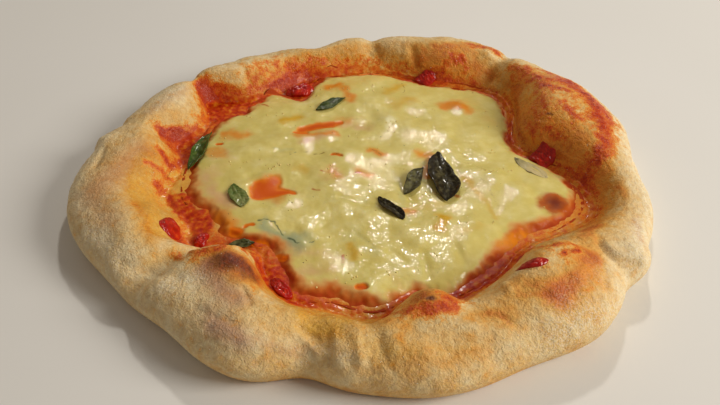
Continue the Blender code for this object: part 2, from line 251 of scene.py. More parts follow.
def on_crust(x, y):
    """The point of the crust's upper skin over this place."""
    nearest = np.argmin((upper_skin[:, 0] - x) ** 2 + (upper_skin[:, 1] - y) ** 2)
    return np.array([x, y, upper_skin[nearest, 2]])


def on_flat(x, y):
    return np.array([x, y, 0.0])


def apart_from(points, start, end):
    """How far points lie from the straight stretch between two places."""
    way = end - start
    share = np.clip((points - start) @ way / max(way @ way, 1e-12), 0.0, 1.0)
    return np.linalg.norm(points - start - share[:, None] * way, axis=1)


def touched(points, half_width, places, settle):
    """How strongly one soft stroke through these places touches each point, from 0 to 1."""
    line = [settle(x * MM, y * MM) for x, y in places]
    near = np.min([apart_from(points, a, b) for a, b in zip(line, line[1:])], axis=0)
    return np.exp(-((near / (half_width * MM)) ** 2))


def brushed(points, strokes, settle=on_crust, spread=1.0):
    """Colour laid on in soft strokes, from 0 to 1. A stroke is (half width, strength, place, ...) in mm.
    Strokes cover each other, and one with a negative strength lifts colour off again."""
    flat = points.reshape(-1, 3)
    total = np.zeros(len(flat))
    for half_width, strength, *places in strokes:
        touch = strength * touched(flat, half_width * spread, places, settle)
        total += touch * (1 - total if strength > 0 else total)
    return total.reshape(points.shape[:-1])


def raised(points, strokes, settle=on_crust):
    """Adds up strokes whose strength is a height in mm."""
    flat = points.reshape(-1, 3)
    total = sum(MM * strength * touched(flat, half_width, places, settle)
                for half_width, strength, *places in strokes)
    return total.reshape(points.shape[:-1])


# How far, and over what distance, the edge of anything brushed on wanders.
RAGGED_MOVES = ((0.0017, 0.0065), (0.0008, 0.0022))
# One fixed draw, so that the edge is the same each time.
RAGGED_SEED = 7
noise.seed_set(RAGGED_SEED)


def ragged(points):
    """The same points, each moved a little by smooth noise, so that brushed strokes get an uneven edge."""
    moved = points.copy().reshape(-1, 3)
    for reach, span in RAGGED_MOVES:
        moved += reach * np.array([noise.noise_vector(Vector(p)) for p in points.reshape(-1, 3) / span])
    return moved.reshape(points.shape)


# Ridges, dents, torn lines and wrinkles that a hand and the oven left, as strokes.
# Their strength is a height in mm.
CRUST_RIDGES = (
    (1.3, 1.1, (-85, -74), (-74, -78), (-66, -78), (-58, -77), (-53, -67), (-48, -70), (-44, -74),
     (-39, -80)),
    (1.0, -0.9, (-50, -100), (-48, -104), (-46, -109)),
    (1.6, 0.8, (-28, -119), (-23, -121), (-17, -126)),
    (2.0, -0.8, (-25, -116), (-17, -122)),
    (2.0, -0.7, (-13, -120), (-12, -131)),
    (2.0, 0.7, (-10, -121), (-8, -132)),
    (2.0, -0.7, (-5, -123), (-3, -133)),
    (1.6, 0.6, (-1, -123), (1, -132)),
    (5.5, 1.6, (49, -117), (56, -120)),
    (1.8, -0.9, (46, -113), (59, -112), (65, -115)),
    (4.5, 1.4, (15, -127), (25, -128)),
    (3.0, -0.9, (8, -123), (10, -132)),
    (5.0, 1.2, (-4, -128), (1, -130)),
    (1.8, -1.5, (111, -64), (113, -71), (118, -74), (127, -73)),
    (2.6, 1.1, (113, -66), (119, -70), (129, -68)),
    (1.6, -0.8, (111, -60), (109, -78), (107, -94)),
    (1.4, -1.0, (-137, -15), (-136, -7), (-136, 1)),
    (1.6, -0.7, (-112, -6), (-107, -17), (-98, -44), (-90, -65)),
    (1.0, 0.6, (-109, -12), (-103, -30), (-95, -54)),
    (3.5, 1.0, (77, -97), (84, -93)),
    (2.2, 0.9, (82, -100), (83, -101)),
    (2.5, 0.9, (62, -94), (64, -99)),
    (3.0, 1.0, (93, -91), (98, -87)),
    (3.5, 1.1, (120, -13), (119, -20)),
    (2.2, -0.6, (116, -4), (113, -34)),
    (3.0, 0.9, (-105, -35), (-102, -55)),
    (6.0, 1.0, (-118, -42), (-109, -69)),
    (6.0, 0.9, (-94, -90), (-77, -103)),
    (2.5, -0.8, (-109, -79), (-95, -82), (-80, -92)),
    (2.5, -0.8, (-69, -110), (-60, -115), (-51, -119)),
    (5.0, 0.8, (-44, -126), (-32, -126)),
    (5.0, 1.0, (-40, 96), (-29, 101)),
    (2.2, -0.8, (-49, 98), (-42, 94)),
    (2.2, -0.9, (-24, 106), (-22, 103)),
    (4.0, 0.9, (-11, 111), (-2, 114)),
    (2.0, -0.8, (7, 117), (10, 111)),
    (4.0, 0.9, (17, 114), (24, 111)),
    (2.6, -1.0, (30, 112), (33, 104)),
    (5.0, 0.8, (47, 104), (55, 104)),
    (3.0, 0.8, (76, 105), (79, 102)),
    (3.0, 0.9, (-62, 85), (-58, 83)),
    (2.2, -0.8, (-73, 83), (-69, 78)),
)
# Baking marks, as strokes with strengths up to about 1. A negative one leaves a paler patch.
BROWNED = (
    (9, 1.2, (-63, -85), (-56, -88), (-47, -89)),
    (12, 0.62, (95, 38), (104, 23), (116, 13)),
    (8, 0.70, (90, 68), (87, 46), (91, 26)),
    (8, 0.85, (91, 82), (106, 70), (120, 59)),
    (9, 0.72, (103, 17), (116, 7), (121, 0)),
    (6, 0.55, (126, 40), (131, 24)),
    (5, -0.45, (105, 47), (108, 37), (106, 30)),
    (11, -0.75, (-116, 36), (-104, 54), (-92, 76)),
    (9, -0.60, (-37, -92), (-24, -104), (-8, -112)),
    (8, -0.40, (-104, -30), (-94, -60)),
    (4, -0.40, (121, 35), (123, 24)),
    (5, -0.35, (122, 14), (120, 8), (117, 11)),
    (11, 0.66, (38, 103), (53, 100), (73, 97)),
    (7, 0.55, (52, 109), (73, 115)),
    (5, -0.40, (76, 107), (81, 101)),
    (7, -0.3, (-12, 108), (15, 114)),
    (9, -0.8, (-92, 80), (-76, 90)),
    (6, 0.75, (117, 66), (126, 52), (132, 38)),
    (8, 0.60, (-65, 82), (-54, 88), (-40, 99)),
    (5.5, 0.70, (119, -3), (119, -24), (106, -60)),
    (8, 0.85, (104, -74), (95, -92), (84, -100)),
    (3.0, 0.5, (100, -70), (105, -78)),
    (3.0, 0.5, (90, -96), (80, -103)),
    (8, 0.42, (76, -98), (64, -104), (56, -110)),
    (5, 0.80, (25, -102), (34, -105)),
    (3.5, 0.55, (24, -111), (20, -118)),
    (4, 0.40, (-114, 2), (-106, 8)),
    (4.5, 0.45, (-109, -43), (-102, -56), (-97, -69)),
    (2.5, 0.45, (44, -113), (56, -110), (64, -114)),
    (3, 0.38, (1, -99), (12, -115)),
    (2.5, 0.40, (16, -120), (18, -126)),
)
OILED = (
    (14, 0.55, (100, 48), (106, 22)),
    (10, 0.95, (-40, -84), (-28, -94), (-15, -110)),
    (8, 0.85, (-113, -7), (-111, -28), (-98, -60)),
    (4, 0.25, (137, 18), (137, 4)),
    (7, 0.60, (5, -131), (31, -130), (46, -127)),
    (5, 0.25, (-40, 100), (-19, 106)),
    (6, 0.35, (102, -100), (119, -77)),
    (4, 0.50, (-96, -78), (-85, -72)),
    (5, 0.35, (129, -8), (116, -54)),
)
SAUCE_STAINS = (
    (1.6, 0.9, (102, 61), (109, 55), (115, 52)),
    (2.6, 0.9, (112, 39), (115, 34), (117, 29)),
    (5.5, 1.0, (130, 34), (131, 24), (129, 12), (124, 3)),
    (6.5, 1.1, (118, 66), (125, 55), (131, 43), (133, 32)),
    (9.0, 0.30, (104, 62), (110, 44), (112, 26), (112, 14)),
    (3.0, 0.7, (101, 47), (102, 39)),
    (6.0, 0.45, (98, 56), (96, 40), (97, 26)),
    (3.4, 0.7, (103, 27), (108, 22)),
    (3.0, 0.6, (94, 35), (95, 28)),
    (4.0, 0.6, (117, 4), (122, -4)),
    (3.5, 0.7, (89, 90), (99, 79), (106, 66)),
    (3.0, 0.6, (97, 86), (109, 83), (116, 70)),
    (2.0, 0.6, (90, 84), (100, 68), (107, 53)),
    (3.2, 0.8, (66, 113), (74, 113), (84, 108)),
    (5.0, 0.7, (44, 99), (55, 101)),
    (4.0, 0.6, (56, 105), (66, 96)),
    (8.0, 0.55, (-66, 84), (-58, 90), (-46, 98)),
    (4.0, 0.9, (-50, 87), (-40, 88), (-30, 99)),
    (5.0, 1.0, (-96, 70), (-88, 69), (-79, 63)),
    (3.2, 1.0, (-113, 27), (-106, 30), (-99, 32)),
    (5.0, 0.45, (-108, 20), (-99, 26)),
    (2.6, 0.9, (-97, 22), (-98, 12)),
    (2.4, 0.8, (-110, 9), (-104, 4), (-99, 8)),
    (5.0, 0.15, (-110, 0), (-106, -10), (-101, -22)),
    (2.0, 0.7, (-114, -4), (-107, -2), (-101, -6)),
    (2.0, 1.0, (-108, -12), (-101, -18), (-95, -28), (-88, -36)),
    (3.5, 1.0, (-92, -48), (-87, -55)),
    (3.5, 0.9, (-83, -40), (-78, -50)),
    (4.5, 0.9, (36, -106), (49, -94), (59, -81), (65, -68)),
    (3.0, 0.95, (22, -108), (29, -110), (39, -109)),
    (2.4, 0.8, (76, -60), (83, -74), (97, -71)),
    (2.0, 0.9, (91, -79), (98, -76)),
    (7.0, 0.30, (84, -82), (95, -88), (97, -95)),
    (5.0, 0.30, (119, -4), (121, -22), (114, -42)),
    (3.0, 0.8, (-83, -74), (-72, -80), (-63, -79), (-54, -70)),
    (4.0, 0.8, (-47, -68), (-39, -79)),
    (4.0, 0.35, (-62, -88), (-50, -92), (-45, -98)),
    (3.5, 0.55, (-33, -88), (-18, -91), (-2, -94)),
    (4.0, 0.6, (12, -98), (20, -110)),
)
CHARRED = (
    (7.0, 0.85, (-61, -86), (-54, -88), (-49, -90)),
    (3.0, 0.6, (-56, -89), (-54, -88)),
    (2.0, 0.6, (-49, -88), (-48, -88)),
    (1.4, 1.0, (28, -105), (31, -105)),
    (1.2, 1.0, (102, 35), (104, 34)),
    (4.0, 0.45, (117, 65), (125, 54), (131, 42)),
    (1.0, 0.5, (105, 57), (109, 55)),
    (1.2, 0.6, (91, -79), (96, -76)),
    (3.0, 0.3, (119, -14), (117, -27)),
)
# Pinkish-brown patches on the left and front-left outside of the rim: partly the dough's own tint, partly
# painted warm shade.
ROSY_AND_SHADE = (
    (9, 0.75, (-131, -35), (-125, -17), (-117, 0)),
    (7, 0.50, (-127, -45), (-117, -58)),
    (6, 0.95, (-68, -89), (-59, -101), (-52, -106)),
    (5, 0.95, (-60, -118), (-54, -122), (-48, -126)),
    (4, 0.40, (-119, 34), (-104, 57)),
    (3, 0.55, (135, -42), (132, -59)),
    (3, 0.35, (-40, -125), (-24, -126)),
    (3.5, 0.40, (-64, -111), (-57, -121)),
)
FLOURED = (
    (6, 0.9, (136, 34), (141, 18), (142, 0)),
    (8, 0.9, (143, -5), (143, -25), (130, -65)),
    (9, 0.7, (124, -75), (107, -101), (84, -117)),
    (5, 0.8, (-83, -95), (-70, -93)),
    (8, 0.8, (-116, 40), (-101, 74), (-82, 84)),
    (5, 0.5, (-17, -122), (0, -129)),
    (4, 0.6, (13, 119), (25, 116)),
    (6, 0.6, (-127, -60), (-114, -76)),
)
# How far sauce and its oil soak up the slope past the sauce's edge, with more where the slope is low.
STAIN_REACH = 0.0022
STAIN_SPREAD = 1.9
OIL_REACH = 0.006
SOAK_LOBES = (
    (116, 12, 0.0030), (143, 9, 0.0030), (175, 20, 0.0035), (205, 14, 0.0020), (265, 16, 0.0015),
    (345, 14, 0.0020), (75, 16, 0.0020),
)
# How brown the inner slope has baked, and how yellow it is with oil, from one side of the pizza to the next.
BAKE_LOBES = (
    (20, 22, 0.34), (68, 16, 0.26), (348, 12, 0.24), (316, 16, 0.22), (100, 12, 0.24), (284, 8, 0.26),
    (255, 14, 0.05), (188, 22, 0.06),
)
OIL_LOBES = ((190, 24, 0.40), (262, 22, 0.50), (100, 20, 0.15), (20, 30, 0.20), (315, 30, 0.30))
# How golden the outside of the rim has turned by angle, most at the front: partly browning where the oven was
# hottest, partly painted warm shade.
GOLD_AND_SHADE_LOBES = ((285, 24, 0.16), (255, 16, 0.12), (312, 14, 0.10), (215, 20, 0.05))
# Where the foot of the rim is more oily dough than sauce.
BARE_LOBES = ((190, 17, 0.75), (266, 12, 0.65), (350, 12, 0.35), (206, 8, 0.2))
# How unevenly the dough takes up heat, oil and sauce.
UPTAKE_NOISE = ((0.45, 0.006, 7.0), (0.3, 0.0022, 3.0))
# A point's turn is 0 at the rim's crest and 1 at its foot on the floor. Sauce and oil end at this turn.
WET_ENDS = 0.4
SLOPE_STRETCH = 1.3


def dough_marks(points, climb, turned, angle):
    """The marks at points of the crust's skin, each from 0 to 1: baking, oil, sauce and flour, and some
    painted warm shade on the outside.
    """
    past_edge = np.maximum(climb, 0.0) * (rim_crest(angle) - sauce_edge(angle)) * SLOPE_STRETCH
    wobble = 1 + layered_noise(points, UPTAKE_NOISE)
    soak = 1 + lobes(angle, SOAK_LOBES) / STAIN_REACH
    seen = turned < WET_ENDS
    stain = np.exp(-((past_edge / (STAIN_REACH * soak * wobble)) ** 2)) * seen
    stain *= 1 - lobes(angle, BARE_LOBES)
    oil = np.exp(-((past_edge / (OIL_REACH * soak * wobble)) ** 1.6)) * seen
    outside = ease(turned, 0.05, 0.28)
    bake = lobes(angle, BAKE_LOBES) * (1 - ease(climb + turned, 0.72, 1.12)) * wobble
    # The outside's golden colour, partly painted warm shade, grows deeper low down towards the floor.
    golden_and_shade = lobes(angle, GOLD_AND_SHADE_LOBES) * outside * (1 + 0.8 * ease(turned, 0.45, 0.8))
    moved = ragged(points)
    marks = {
        # The browned mark also carries the painted warm shade of the outside.
        "browned": bake + golden_and_shade + 0.65 * brushed(moved, BROWNED) * (1 - bake),
        "oiled": oil * 0.6 + (0.1 + lobes(angle, OIL_LOBES)) * (1 - outside) + brushed(moved, OILED),
        "stained": 0.5 * stain + 0.45 * brushed(moved, SAUCE_STAINS)
        + 0.38 * brushed(moved, SAUCE_STAINS, spread=STAIN_SPREAD),
        "charred": brushed(moved, CHARRED),
        "rosy_and_shade": brushed(moved, ROSY_AND_SHADE),
        "floured": 0.1 + 0.4 * outside - golden_and_shade + brushed(moved, FLOURED),
        "outside": outside,
    }
    return {name: np.clip(values, 0.0, 1.0) for name, values in marks.items()}


# The skin between the large forms: soft swells, puckers and, on the floury outside, fine dry wrinkles.
SWELL_SPAN = 0.009
SWELL_HEIGHT = 0.00050
PUCKER_SPAN = 0.0042
PUCKER_HEIGHT = 0.00030
WRINKLE_SPAN = 0.0023
WRINKLE_HEIGHT = 0.00017
SMEAR_SPAN = 0.0016
SMEAR_HEIGHT = 0.0005

crust_marks = dough_marks(crust_rings, crust_climb, crust_turned, angle)
pucker = 1 - 2 * np.abs(soft_noise(crust_rings, PUCKER_SPAN, 11.0))
wrinkle = 1 - 2 * np.abs(soft_noise(crust_rings, WRINKLE_SPAN, 23.0))
skin = SWELL_HEIGHT * soft_noise(crust_rings, SWELL_SPAN, 5.0)
skin += PUCKER_HEIGHT * pucker * (0.5 + 0.5 * crust_marks["outside"])
skin += WRINKLE_HEIGHT * wrinkle * (0.4 + 0.6 * crust_marks["outside"])
skin += raised(crust_rings, CRUST_RIDGES)
skin += SMEAR_HEIGHT * crust_marks["stained"] * (1 + soft_noise(crust_rings, SMEAR_SPAN, 31.0))
crust_skin = crust_rings + normals(crust_rings) * (skin * crust_fade)[..., None]


def keep_inside(points):
    """Holds the points within the solid model's box, which they leave by a hair's breadth at the most."""
    low, high = np.array(cad_bounds[0]) + plan_centre, np.array(cad_bounds[1]) + plan_centre
    return np.clip(points, low, high)


def set_marks(mesh, marks):
    """Writes values for each point as the mesh's attributes, which its material reads by name."""
    for name, values in marks.items():
        layer = mesh.attributes.new(name, "FLOAT", "POINT")
        layer.data.foreach_set("value", np.ascontiguousarray(values, dtype=np.float32).ravel())


def placed(name, data):
    """Puts a mesh, light or camera into the scene under this name."""
    piece = bpy.data.objects.new(name, data)
    bpy.context.scene.collection.objects.link(piece)
    return piece


def skinned(name, points, faces, marks):
    """A smooth piece with marks, from points that are already in the model's place."""
    mesh = bpy.data.meshes.new(name)
    mesh.from_pydata(points.tolist(), [], faces)
    mesh.shade_smooth()
    set_marks(mesh, marks)
    return placed(name, mesh)


def lofted(name, rings, top, bottom, marks):
    """A closed skin from a top point out over rings and back in to a bottom point, in the model's place."""
    rows, count = rings.shape[:2]
    points = np.concatenate([[top], rings.reshape(-1, 3), [bottom]]) - plan_centre
    last = len(points) - 1
    faces = []
    for k in range(count):
        after = (k + 1) % count
        faces.append((0, 1 + k, 1 + after))
        for row in range(rows - 1):
            here, there = 1 + row * count, 1 + (row + 1) * count
            faces.append((here + k, there + k, there + after, here + after))
        foot = 1 + (rows - 1) * count
        faces.append((foot + k, last, foot + after))
    closed = {key: np.concatenate([[v[0].mean()], v.ravel(), [v[-1].mean()]]) for key, v in marks.items()}
    return skinned(name, points, faces, closed)


def linear(code):
    """A colour given as sRGB hex, turned to the linear values that a shader takes."""
    parts = [int(code[i:i + 2], 16) / 255 for i in (0, 2, 4)]
    return (*[c / 12.92 if c <= 0.04045 else ((c + 0.055) / 1.055) ** 2.4 for c in parts], 1.0)


def node(tree, kind, inputs=None, stops=(), **settings):
    """Adds a node with its settings. An input is a value, a socket, or a node whose first output is taken."""
    made = tree.nodes.new(kind)
    for key, value in settings.items():
        setattr(made, key, value)
    for key, value in (inputs or {}).items():
        if isinstance(value, bpy.types.Node):
            value = next(output for output in value.outputs if output.enabled)
        if isinstance(value, bpy.types.NodeSocket):
            tree.links.new(value, made.inputs[key])
        else:
            made.inputs[key].default_value = value
    for number, (place, code) in enumerate(stops):
        elements = made.color_ramp.elements
        stop = elements[number] if number < 2 else elements.new(place)
        stop.position = place
        stop.color = linear(code)
    return made


def mark(tree, name):
    return node(tree, "ShaderNodeAttribute", attribute_name=name).outputs["Fac"]


# Baked dough: wheat flour crust, matte where it is dusted and dry, oily and shining where fat soaked in.
# The eye gets a pale cream skin with fine speckle, and golden to dark brown where the oven caught it. Painted
# shade darkens the wrinkles' grooves, and painted warm shade deepens the golden and pinkish-brown outside.
# Speckle is 0.9 mm, dry wrinkles 2.1 mm, mottling 4 mm and blotches 12 mm, as on hand-dusted dough.
SPECKLE = 1 / 0.0009
MOTTLE = 1 / 0.004
BLOTCH = 1 / 0.012
WRINKLE = 1 / 0.0021


def dough_colours():
    """One group that both the crust and the thin edge of the sauce take their dough from."""
    group = bpy.data.node_groups.new("baked_dough_skin", "ShaderNodeTree")
    for name, kind in (("Colour", "Color"), ("Roughness", "Float"), ("Height", "Float")):
        group.interface.new_socket(name, in_out="OUTPUT", socket_type="NodeSocket" + kind)
    place = node(group, "ShaderNodeTexCoord").outputs["Object"]
    speckle = node(group, "ShaderNodeTexNoise", {"Vector": place, "Scale": SPECKLE, "Detail": 3.0})
    mottle = node(group, "ShaderNodeTexNoise", {"Vector": place, "Scale": MOTTLE, "Detail": 4.0})
    blotch = node(group, "ShaderNodeTexNoise", {"Vector": place, "Scale": BLOTCH, "Detail": 2.0})
    broken = node(group, "ShaderNodeMath", {0: mottle, 1: 0.75, 2: -0.375}, operation="MULTIPLY_ADD")
    fine = node(group, "ShaderNodeMath", {0: speckle, 1: 0.5, 2: -0.25}, operation="MULTIPLY_ADD")
    uneven = node(group, "ShaderNodeMath", {0: broken, 1: fine}, operation="ADD")

    baked = node(group, "ShaderNodeMath", {0: blotch, 1: 0.5, 2: -0.22}, operation="MULTIPLY_ADD")
    baked = node(group, "ShaderNodeMath", {0: baked, 1: mark(group, "browned")}, operation="ADD")
    baked = node(group, "ShaderNodeMath", {0: uneven, 1: 0.45, 2: baked}, operation="MULTIPLY_ADD")
    colour = node(group, "ShaderNodeValToRGB", {0: baked}, stops=(
        (0.0, "EAD6A8"), (0.14, "E8CA8E"), (0.32, "E4B25C"), (0.5, "DC8A30"), (0.68, "C96A1E"),
        (0.85, "A84A12"), (1.0, "6A260C")))
    # Fine wrinkles: their grooves bump the skin and are darkened in colour, which is painted shade in the
    # creases.
    groove = node(group, "ShaderNodeTexNoise", {"Vector": place, "Scale": WRINKLE, "Detail": 3.0,
                                                "Roughness": 0.6, "Distortion": 0.6})
    shade = node(group, "ShaderNodeMapRange", {0: groove, 1: 0.36, 2: 0.58, 3: 0.32, 4: 0.0})
    colour = node(group, "ShaderNodeMix", {0: shade, 6: colour, 7: linear("CBB090")}, data_type="RGBA",
                  blend_type="MULTIPLY")
    # The pinkish-brown tint, partly painted warm shade.
    rosy_and_shade = node(group, "ShaderNodeMath", {0: uneven, 1: 0.8, 2: mark(group, "rosy_and_shade")},
                operation="MULTIPLY_ADD", use_clamp=True)
    rosy_and_shade = node(group, "ShaderNodeMath", {0: rosy_and_shade, 1: 0.8}, operation="MULTIPLY")
    colour = node(group, "ShaderNodeMix", {0: rosy_and_shade, 6: colour, 7: linear("B98A72")}, data_type="RGBA")
    oiled = node(group, "ShaderNodeMath", {0: uneven, 1: 0.6, 2: mark(group, "oiled")},
                 operation="MULTIPLY_ADD", use_clamp=True)
    colour = node(group, "ShaderNodeMix", {0: oiled, 6: colour, 7: linear("F6D27A")}, data_type="RGBA",
                  blend_type="MULTIPLY")
    soaked = node(group, "ShaderNodeMath", {0: uneven, 1: 1.5, 2: mark(group, "stained")},
                  operation="MULTIPLY_ADD")
    stained = node(group, "ShaderNodeMapRange", {0: soaked, 1: 0.12, 2: 0.5, 3: 0.0, 4: 0.95},
                   interpolation_type="SMOOTHSTEP")
    tomato = node(group, "ShaderNodeValToRGB", {0: soaked}, stops=(
        (0.12, "EBBC5C"), (0.35, "E69C38"), (0.55, "DA751E"), (0.75, "CC4E12"), (0.98, "AE280A")))
    colour = node(group, "ShaderNodeMix", {0: stained, 6: colour, 7: tomato}, data_type="RGBA")
    flour = node(group, "ShaderNodeMapRange", {0: speckle, 1: 0.42, 2: 0.62, 3: 0.0, 4: 1.0})
    flour = node(group, "ShaderNodeMath", {0: flour, 1: mark(group, "floured")}, operation="MULTIPLY")
    wet = node(group, "ShaderNodeMath", {0: oiled, 1: stained}, operation="MAXIMUM")
    dry = node(group, "ShaderNodeMapRange", {0: wet, 1: 0.1, 2: 0.6, 3: 0.55, 4: 0.0})
    flour = node(group, "ShaderNodeMath", {0: flour, 1: dry}, operation="MULTIPLY")
    colour = node(group, "ShaderNodeMix", {0: flour, 6: colour, 7: linear("F0E8D2")}, data_type="RGBA")
    charred = node(group, "ShaderNodeMath", {0: uneven, 1: 1.1, 2: mark(group, "charred")},
                   operation="MULTIPLY_ADD")
    charred = node(group, "ShaderNodeMapRange", {0: charred, 1: 0.2, 2: 1.1, 3: 0.0, 4: 0.95},
                   interpolation_type="SMOOTHSTEP")
    colour = node(group, "ShaderNodeMix", {0: charred, 6: colour, 7: linear("58221A")}, data_type="RGBA")

    wet = node(group, "ShaderNodeMath", {0: wet, 1: baked}, operation="MAXIMUM")
    rough = node(group, "ShaderNodeMapRange", {0: wet, 1: 0.15, 2: 0.8, 3: 0.82, 4: 0.32})
    rough = node(group, "ShaderNodeMath", {0: fine, 1: 0.3, 2: rough},
                 operation="MULTIPLY_ADD", use_clamp=True)
    height = node(group, "ShaderNodeMath", {0: groove, 1: 2.0, 2: speckle}, operation="MULTIPLY_ADD")
    node(group, "NodeGroupOutput", {"Colour": colour, "Roughness": rough, "Height": height})
    return group


dough_group = dough_colours()


def new_material(name):
    """An empty material. Gives it and its tree of nodes."""
    made = bpy.data.materials.new(name)
    made.use_nodes = True
    made.node_tree.nodes.clear()
    return made, made.node_tree


def shade(tree, inputs):
    """Ends a material with its shader, which takes these inputs."""
    shader = node(tree, "ShaderNodeBsdfPrincipled", inputs)
    node(tree, "ShaderNodeOutputMaterial", {"Surface": shader})


baked_dough, tree = new_material("baked_dough")
dough = node(tree, "ShaderNodeGroup", node_tree=dough_group)
grain = node(tree, "ShaderNodeBump", {"Height": dough.outputs["Height"], "Strength": 0.8, "Distance": 0.0005})
shade(tree, {
    "Base Color": dough.outputs["Colour"], "Roughness": dough.outputs["Roughness"], "Normal": grain,
    "Specular IOR Level": 0.3, "Subsurface Weight": 0.05, "Subsurface Radius": (0.0030, 0.0018, 0.0009),
    "Subsurface Scale": 1.0})

# The underside, which the oven's floor has browned lightly.
UNDERSIDE_BROWNED = 0.35
UNDERSIDE_OTHER_MARKS = 0.2
underside = [crust_rings[-1] * (share, share, 0.0) for share in UNDERSIDE_SHARES]
crust_loft = keep_inside(np.concatenate([crust_skin, underside]))
under_marks = {}
for name, values in crust_marks.items():
    under = UNDERSIDE_BROWNED if name == "browned" else UNDERSIDE_OTHER_MARKS
    under_marks[name] = np.concatenate([values, [np.full_like(values[-1], under)] * len(underside)])
crust = lofted("baked_crust", crust_loft, (0, 0, FLOOR_THICKNESS), (0, 0, 0), under_marks)
crust.data.materials.append(baked_dough)
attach(crust, "root")
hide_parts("crust")

# The tomato sauce: sieved tomato cooked to a soft pulp, spooned on thinly and spread to the foot of the rim.
# It runs under the cheese, shows as a wet band round it and thins out to nothing where the dough drinks it.
# Its underside lies a little below the dough's top, so no gap opens between them.
LAYER_GAP = 0.0003
SAUCE_THICKNESS = 0.0016
SAUCE_EDGE_THICKNESS = 0.0007
SAUCE_SINK = 0.00015
SAUCE_BEDDING = 0.0008
SAUCE_ROWS = 24
SAUCE_START_SHARE = -0.7
# How much of the band between cheese and rim shows as red sauce. The rest of it is oily, stained dough.
SAUCE_SHOWS = (
    (26, 9, 0.60), (48, 8, 0.35), (72, 9, 0.55), (100, 12, 0.35), (122, 11, 0.80), (143, 9, 0.90),
    (163, 8, 0.50), (180, 9, 0.10), (200, 10, 0.10), (222, 11, 0.50), (246, 10, 0.75), (266, 12, 0.20),
    (284, 6, 0.40), (300, 10, 0.85), (320, 10, 0.45), (340, 10, 0.20), (2, 12, 0.20),
)
SAUCE_POOLS = (
    (4, 1.0, (-92, -20), (-88, -34)),
    (4, 1.0, (-80, -32), (-78, -42)),
    (3, 1.0, (-52, -66), (-44, -76)),
    (3, 0.9, (-38, -80), (-34, -84)),
    (3, 0.9, (92, 22), (100, 16)),
)
PULP_SPAN = 0.0034
PULP_HEIGHT = 0.0006
FINE_PULP_SPAN = 0.0015
FINE_PULP_HEIGHT = 0.00022
SAUCE_EDGE_NOISE = ((0.16, 0.007, 41.0), (0.1, 0.0025, 43.0))
SAUCE_ENDS = (0.62, 1.0)
# How much a metre of pulp adds to the sauce's cover over the dough.
PULP_COVER = 300


def sauce_layer(angle):
    """The sauce's top rings, from under the cheese to its edge, and how far out each point lies there."""
    inner, outer = cheese_edge(angle), sauce_edge(angle)
    shares = np.linspace(SAUCE_START_SHARE, 1.0, SAUCE_ROWS)
    rings, reach = [], []
    for share in shares:
        radius = inner + share * (outer - inner)
        rings.append(at(angle, radius, inner_height(angle, radius)))
        reach.append(np.full_like(angle, share))
    return np.array(rings), np.array(reach)


sauce_bed, sauce_reach = sauce_layer(angle)
outwards = np.clip(sauce_reach, 0.0, 1.0)
holds = 1 - ease(outwards + layered_noise(sauce_bed, SAUCE_EDGE_NOISE), *SAUCE_ENDS)
sauce_top = LAYER_GAP + SAUCE_THICKNESS + outwards * (SAUCE_EDGE_THICKNESS - SAUCE_THICKNESS)
pulp = PULP_HEIGHT * soft_noise(sauce_bed, PULP_SPAN, 47.0)
pulp += FINE_PULP_HEIGHT * soft_noise(sauce_bed, FINE_PULP_SPAN, 53.0)
pulp *= np.clip(outwards * 6, 0.2, 1.0) * holds
sauce_skin = sauce_bed.copy()
sauce_skin[..., 2] += sauce_top * holds + pulp - SAUCE_SINK * outwards
sauce_foot = sauce_bed[::-1] - (0, 0, SAUCE_BEDDING)
sauce_marks = dough_marks(sauce_bed, sauce_reach * 0, sauce_reach * 0, angle)
shows = np.clip(lobes(angle, SAUCE_SHOWS), 0.0, 1.0)
ragged_bed = ragged(sauce_bed)
thick = holds * shows + PULP_COVER * pulp + brushed(ragged_bed, SAUCE_POOLS)
sauce_marks["thick"] = np.clip(thick, 0.0, 1.0)
sauce_marks = {name: np.concatenate([v, v[::-1]]) for name, v in sauce_marks.items()}

# Cooked tomato sauce: wet and oily, with a sharp shine. It gives a deep red where it is thick, and
# orange where oil has carried its colour out over the dough.
tomato_sauce, tree = new_material("cooked_tomato_sauce")
place = node(tree, "ShaderNodeTexCoord").outputs["Object"]
mottle = node(tree, "ShaderNodeTexNoise", {"Vector": place, "Scale": 1 / 0.0035, "Detail": 5.0})
fine = node(tree, "ShaderNodeTexNoise", {"Vector": place, "Scale": 1 / 0.0011, "Detail": 3.0})
colour = node(tree, "ShaderNodeValToRGB", {0: mottle}, stops=(
    (0.26, "941A06"), (0.42, "B22C06"), (0.55, "C84C08"), (0.72, "DC861A")))
dough = node(tree, "ShaderNodeGroup", node_tree=dough_group)
cover = node(tree, "ShaderNodeMath", {0: mottle, 1: 0.5, 2: mark(tree, "thick")}, operation="MULTIPLY_ADD")
cover = node(tree, "ShaderNodeMapRange", {0: cover, 1: 0.3, 2: 0.85, 3: 0.0, 4: 1.0},
             interpolation_type="SMOOTHSTEP")
colour = node(tree, "ShaderNodeMix", {0: cover, 6: dough.outputs["Colour"], 7: colour}, data_type="RGBA")
grain = node(tree, "ShaderNodeBump", {"Height": fine, "Strength": 0.3, "Distance": 0.0005})
shade(tree, {
    "Base Color": colour, "Normal": grain, "Roughness": 0.42, "Specular IOR Level": 0.15,
    "Subsurface Weight": 0.05, "Subsurface Radius": (0.0025, 0.0008, 0.0004), "Subsurface Scale": 1.0,
    "Coat Weight": 0.1, "Coat Roughness": 0.1})

sauce_height = FLOOR_THICKNESS + LAYER_GAP + SAUCE_THICKNESS
sauce = lofted("spread_sauce", np.concatenate([sauce_skin, sauce_foot]), (0, 0, sauce_height),
               (0, 0, FLOOR_THICKNESS - SAUCE_BEDDING), sauce_marks)
sauce.data.materials.append(tomato_sauce)
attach(sauce, "root")
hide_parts("tomato_sauce")

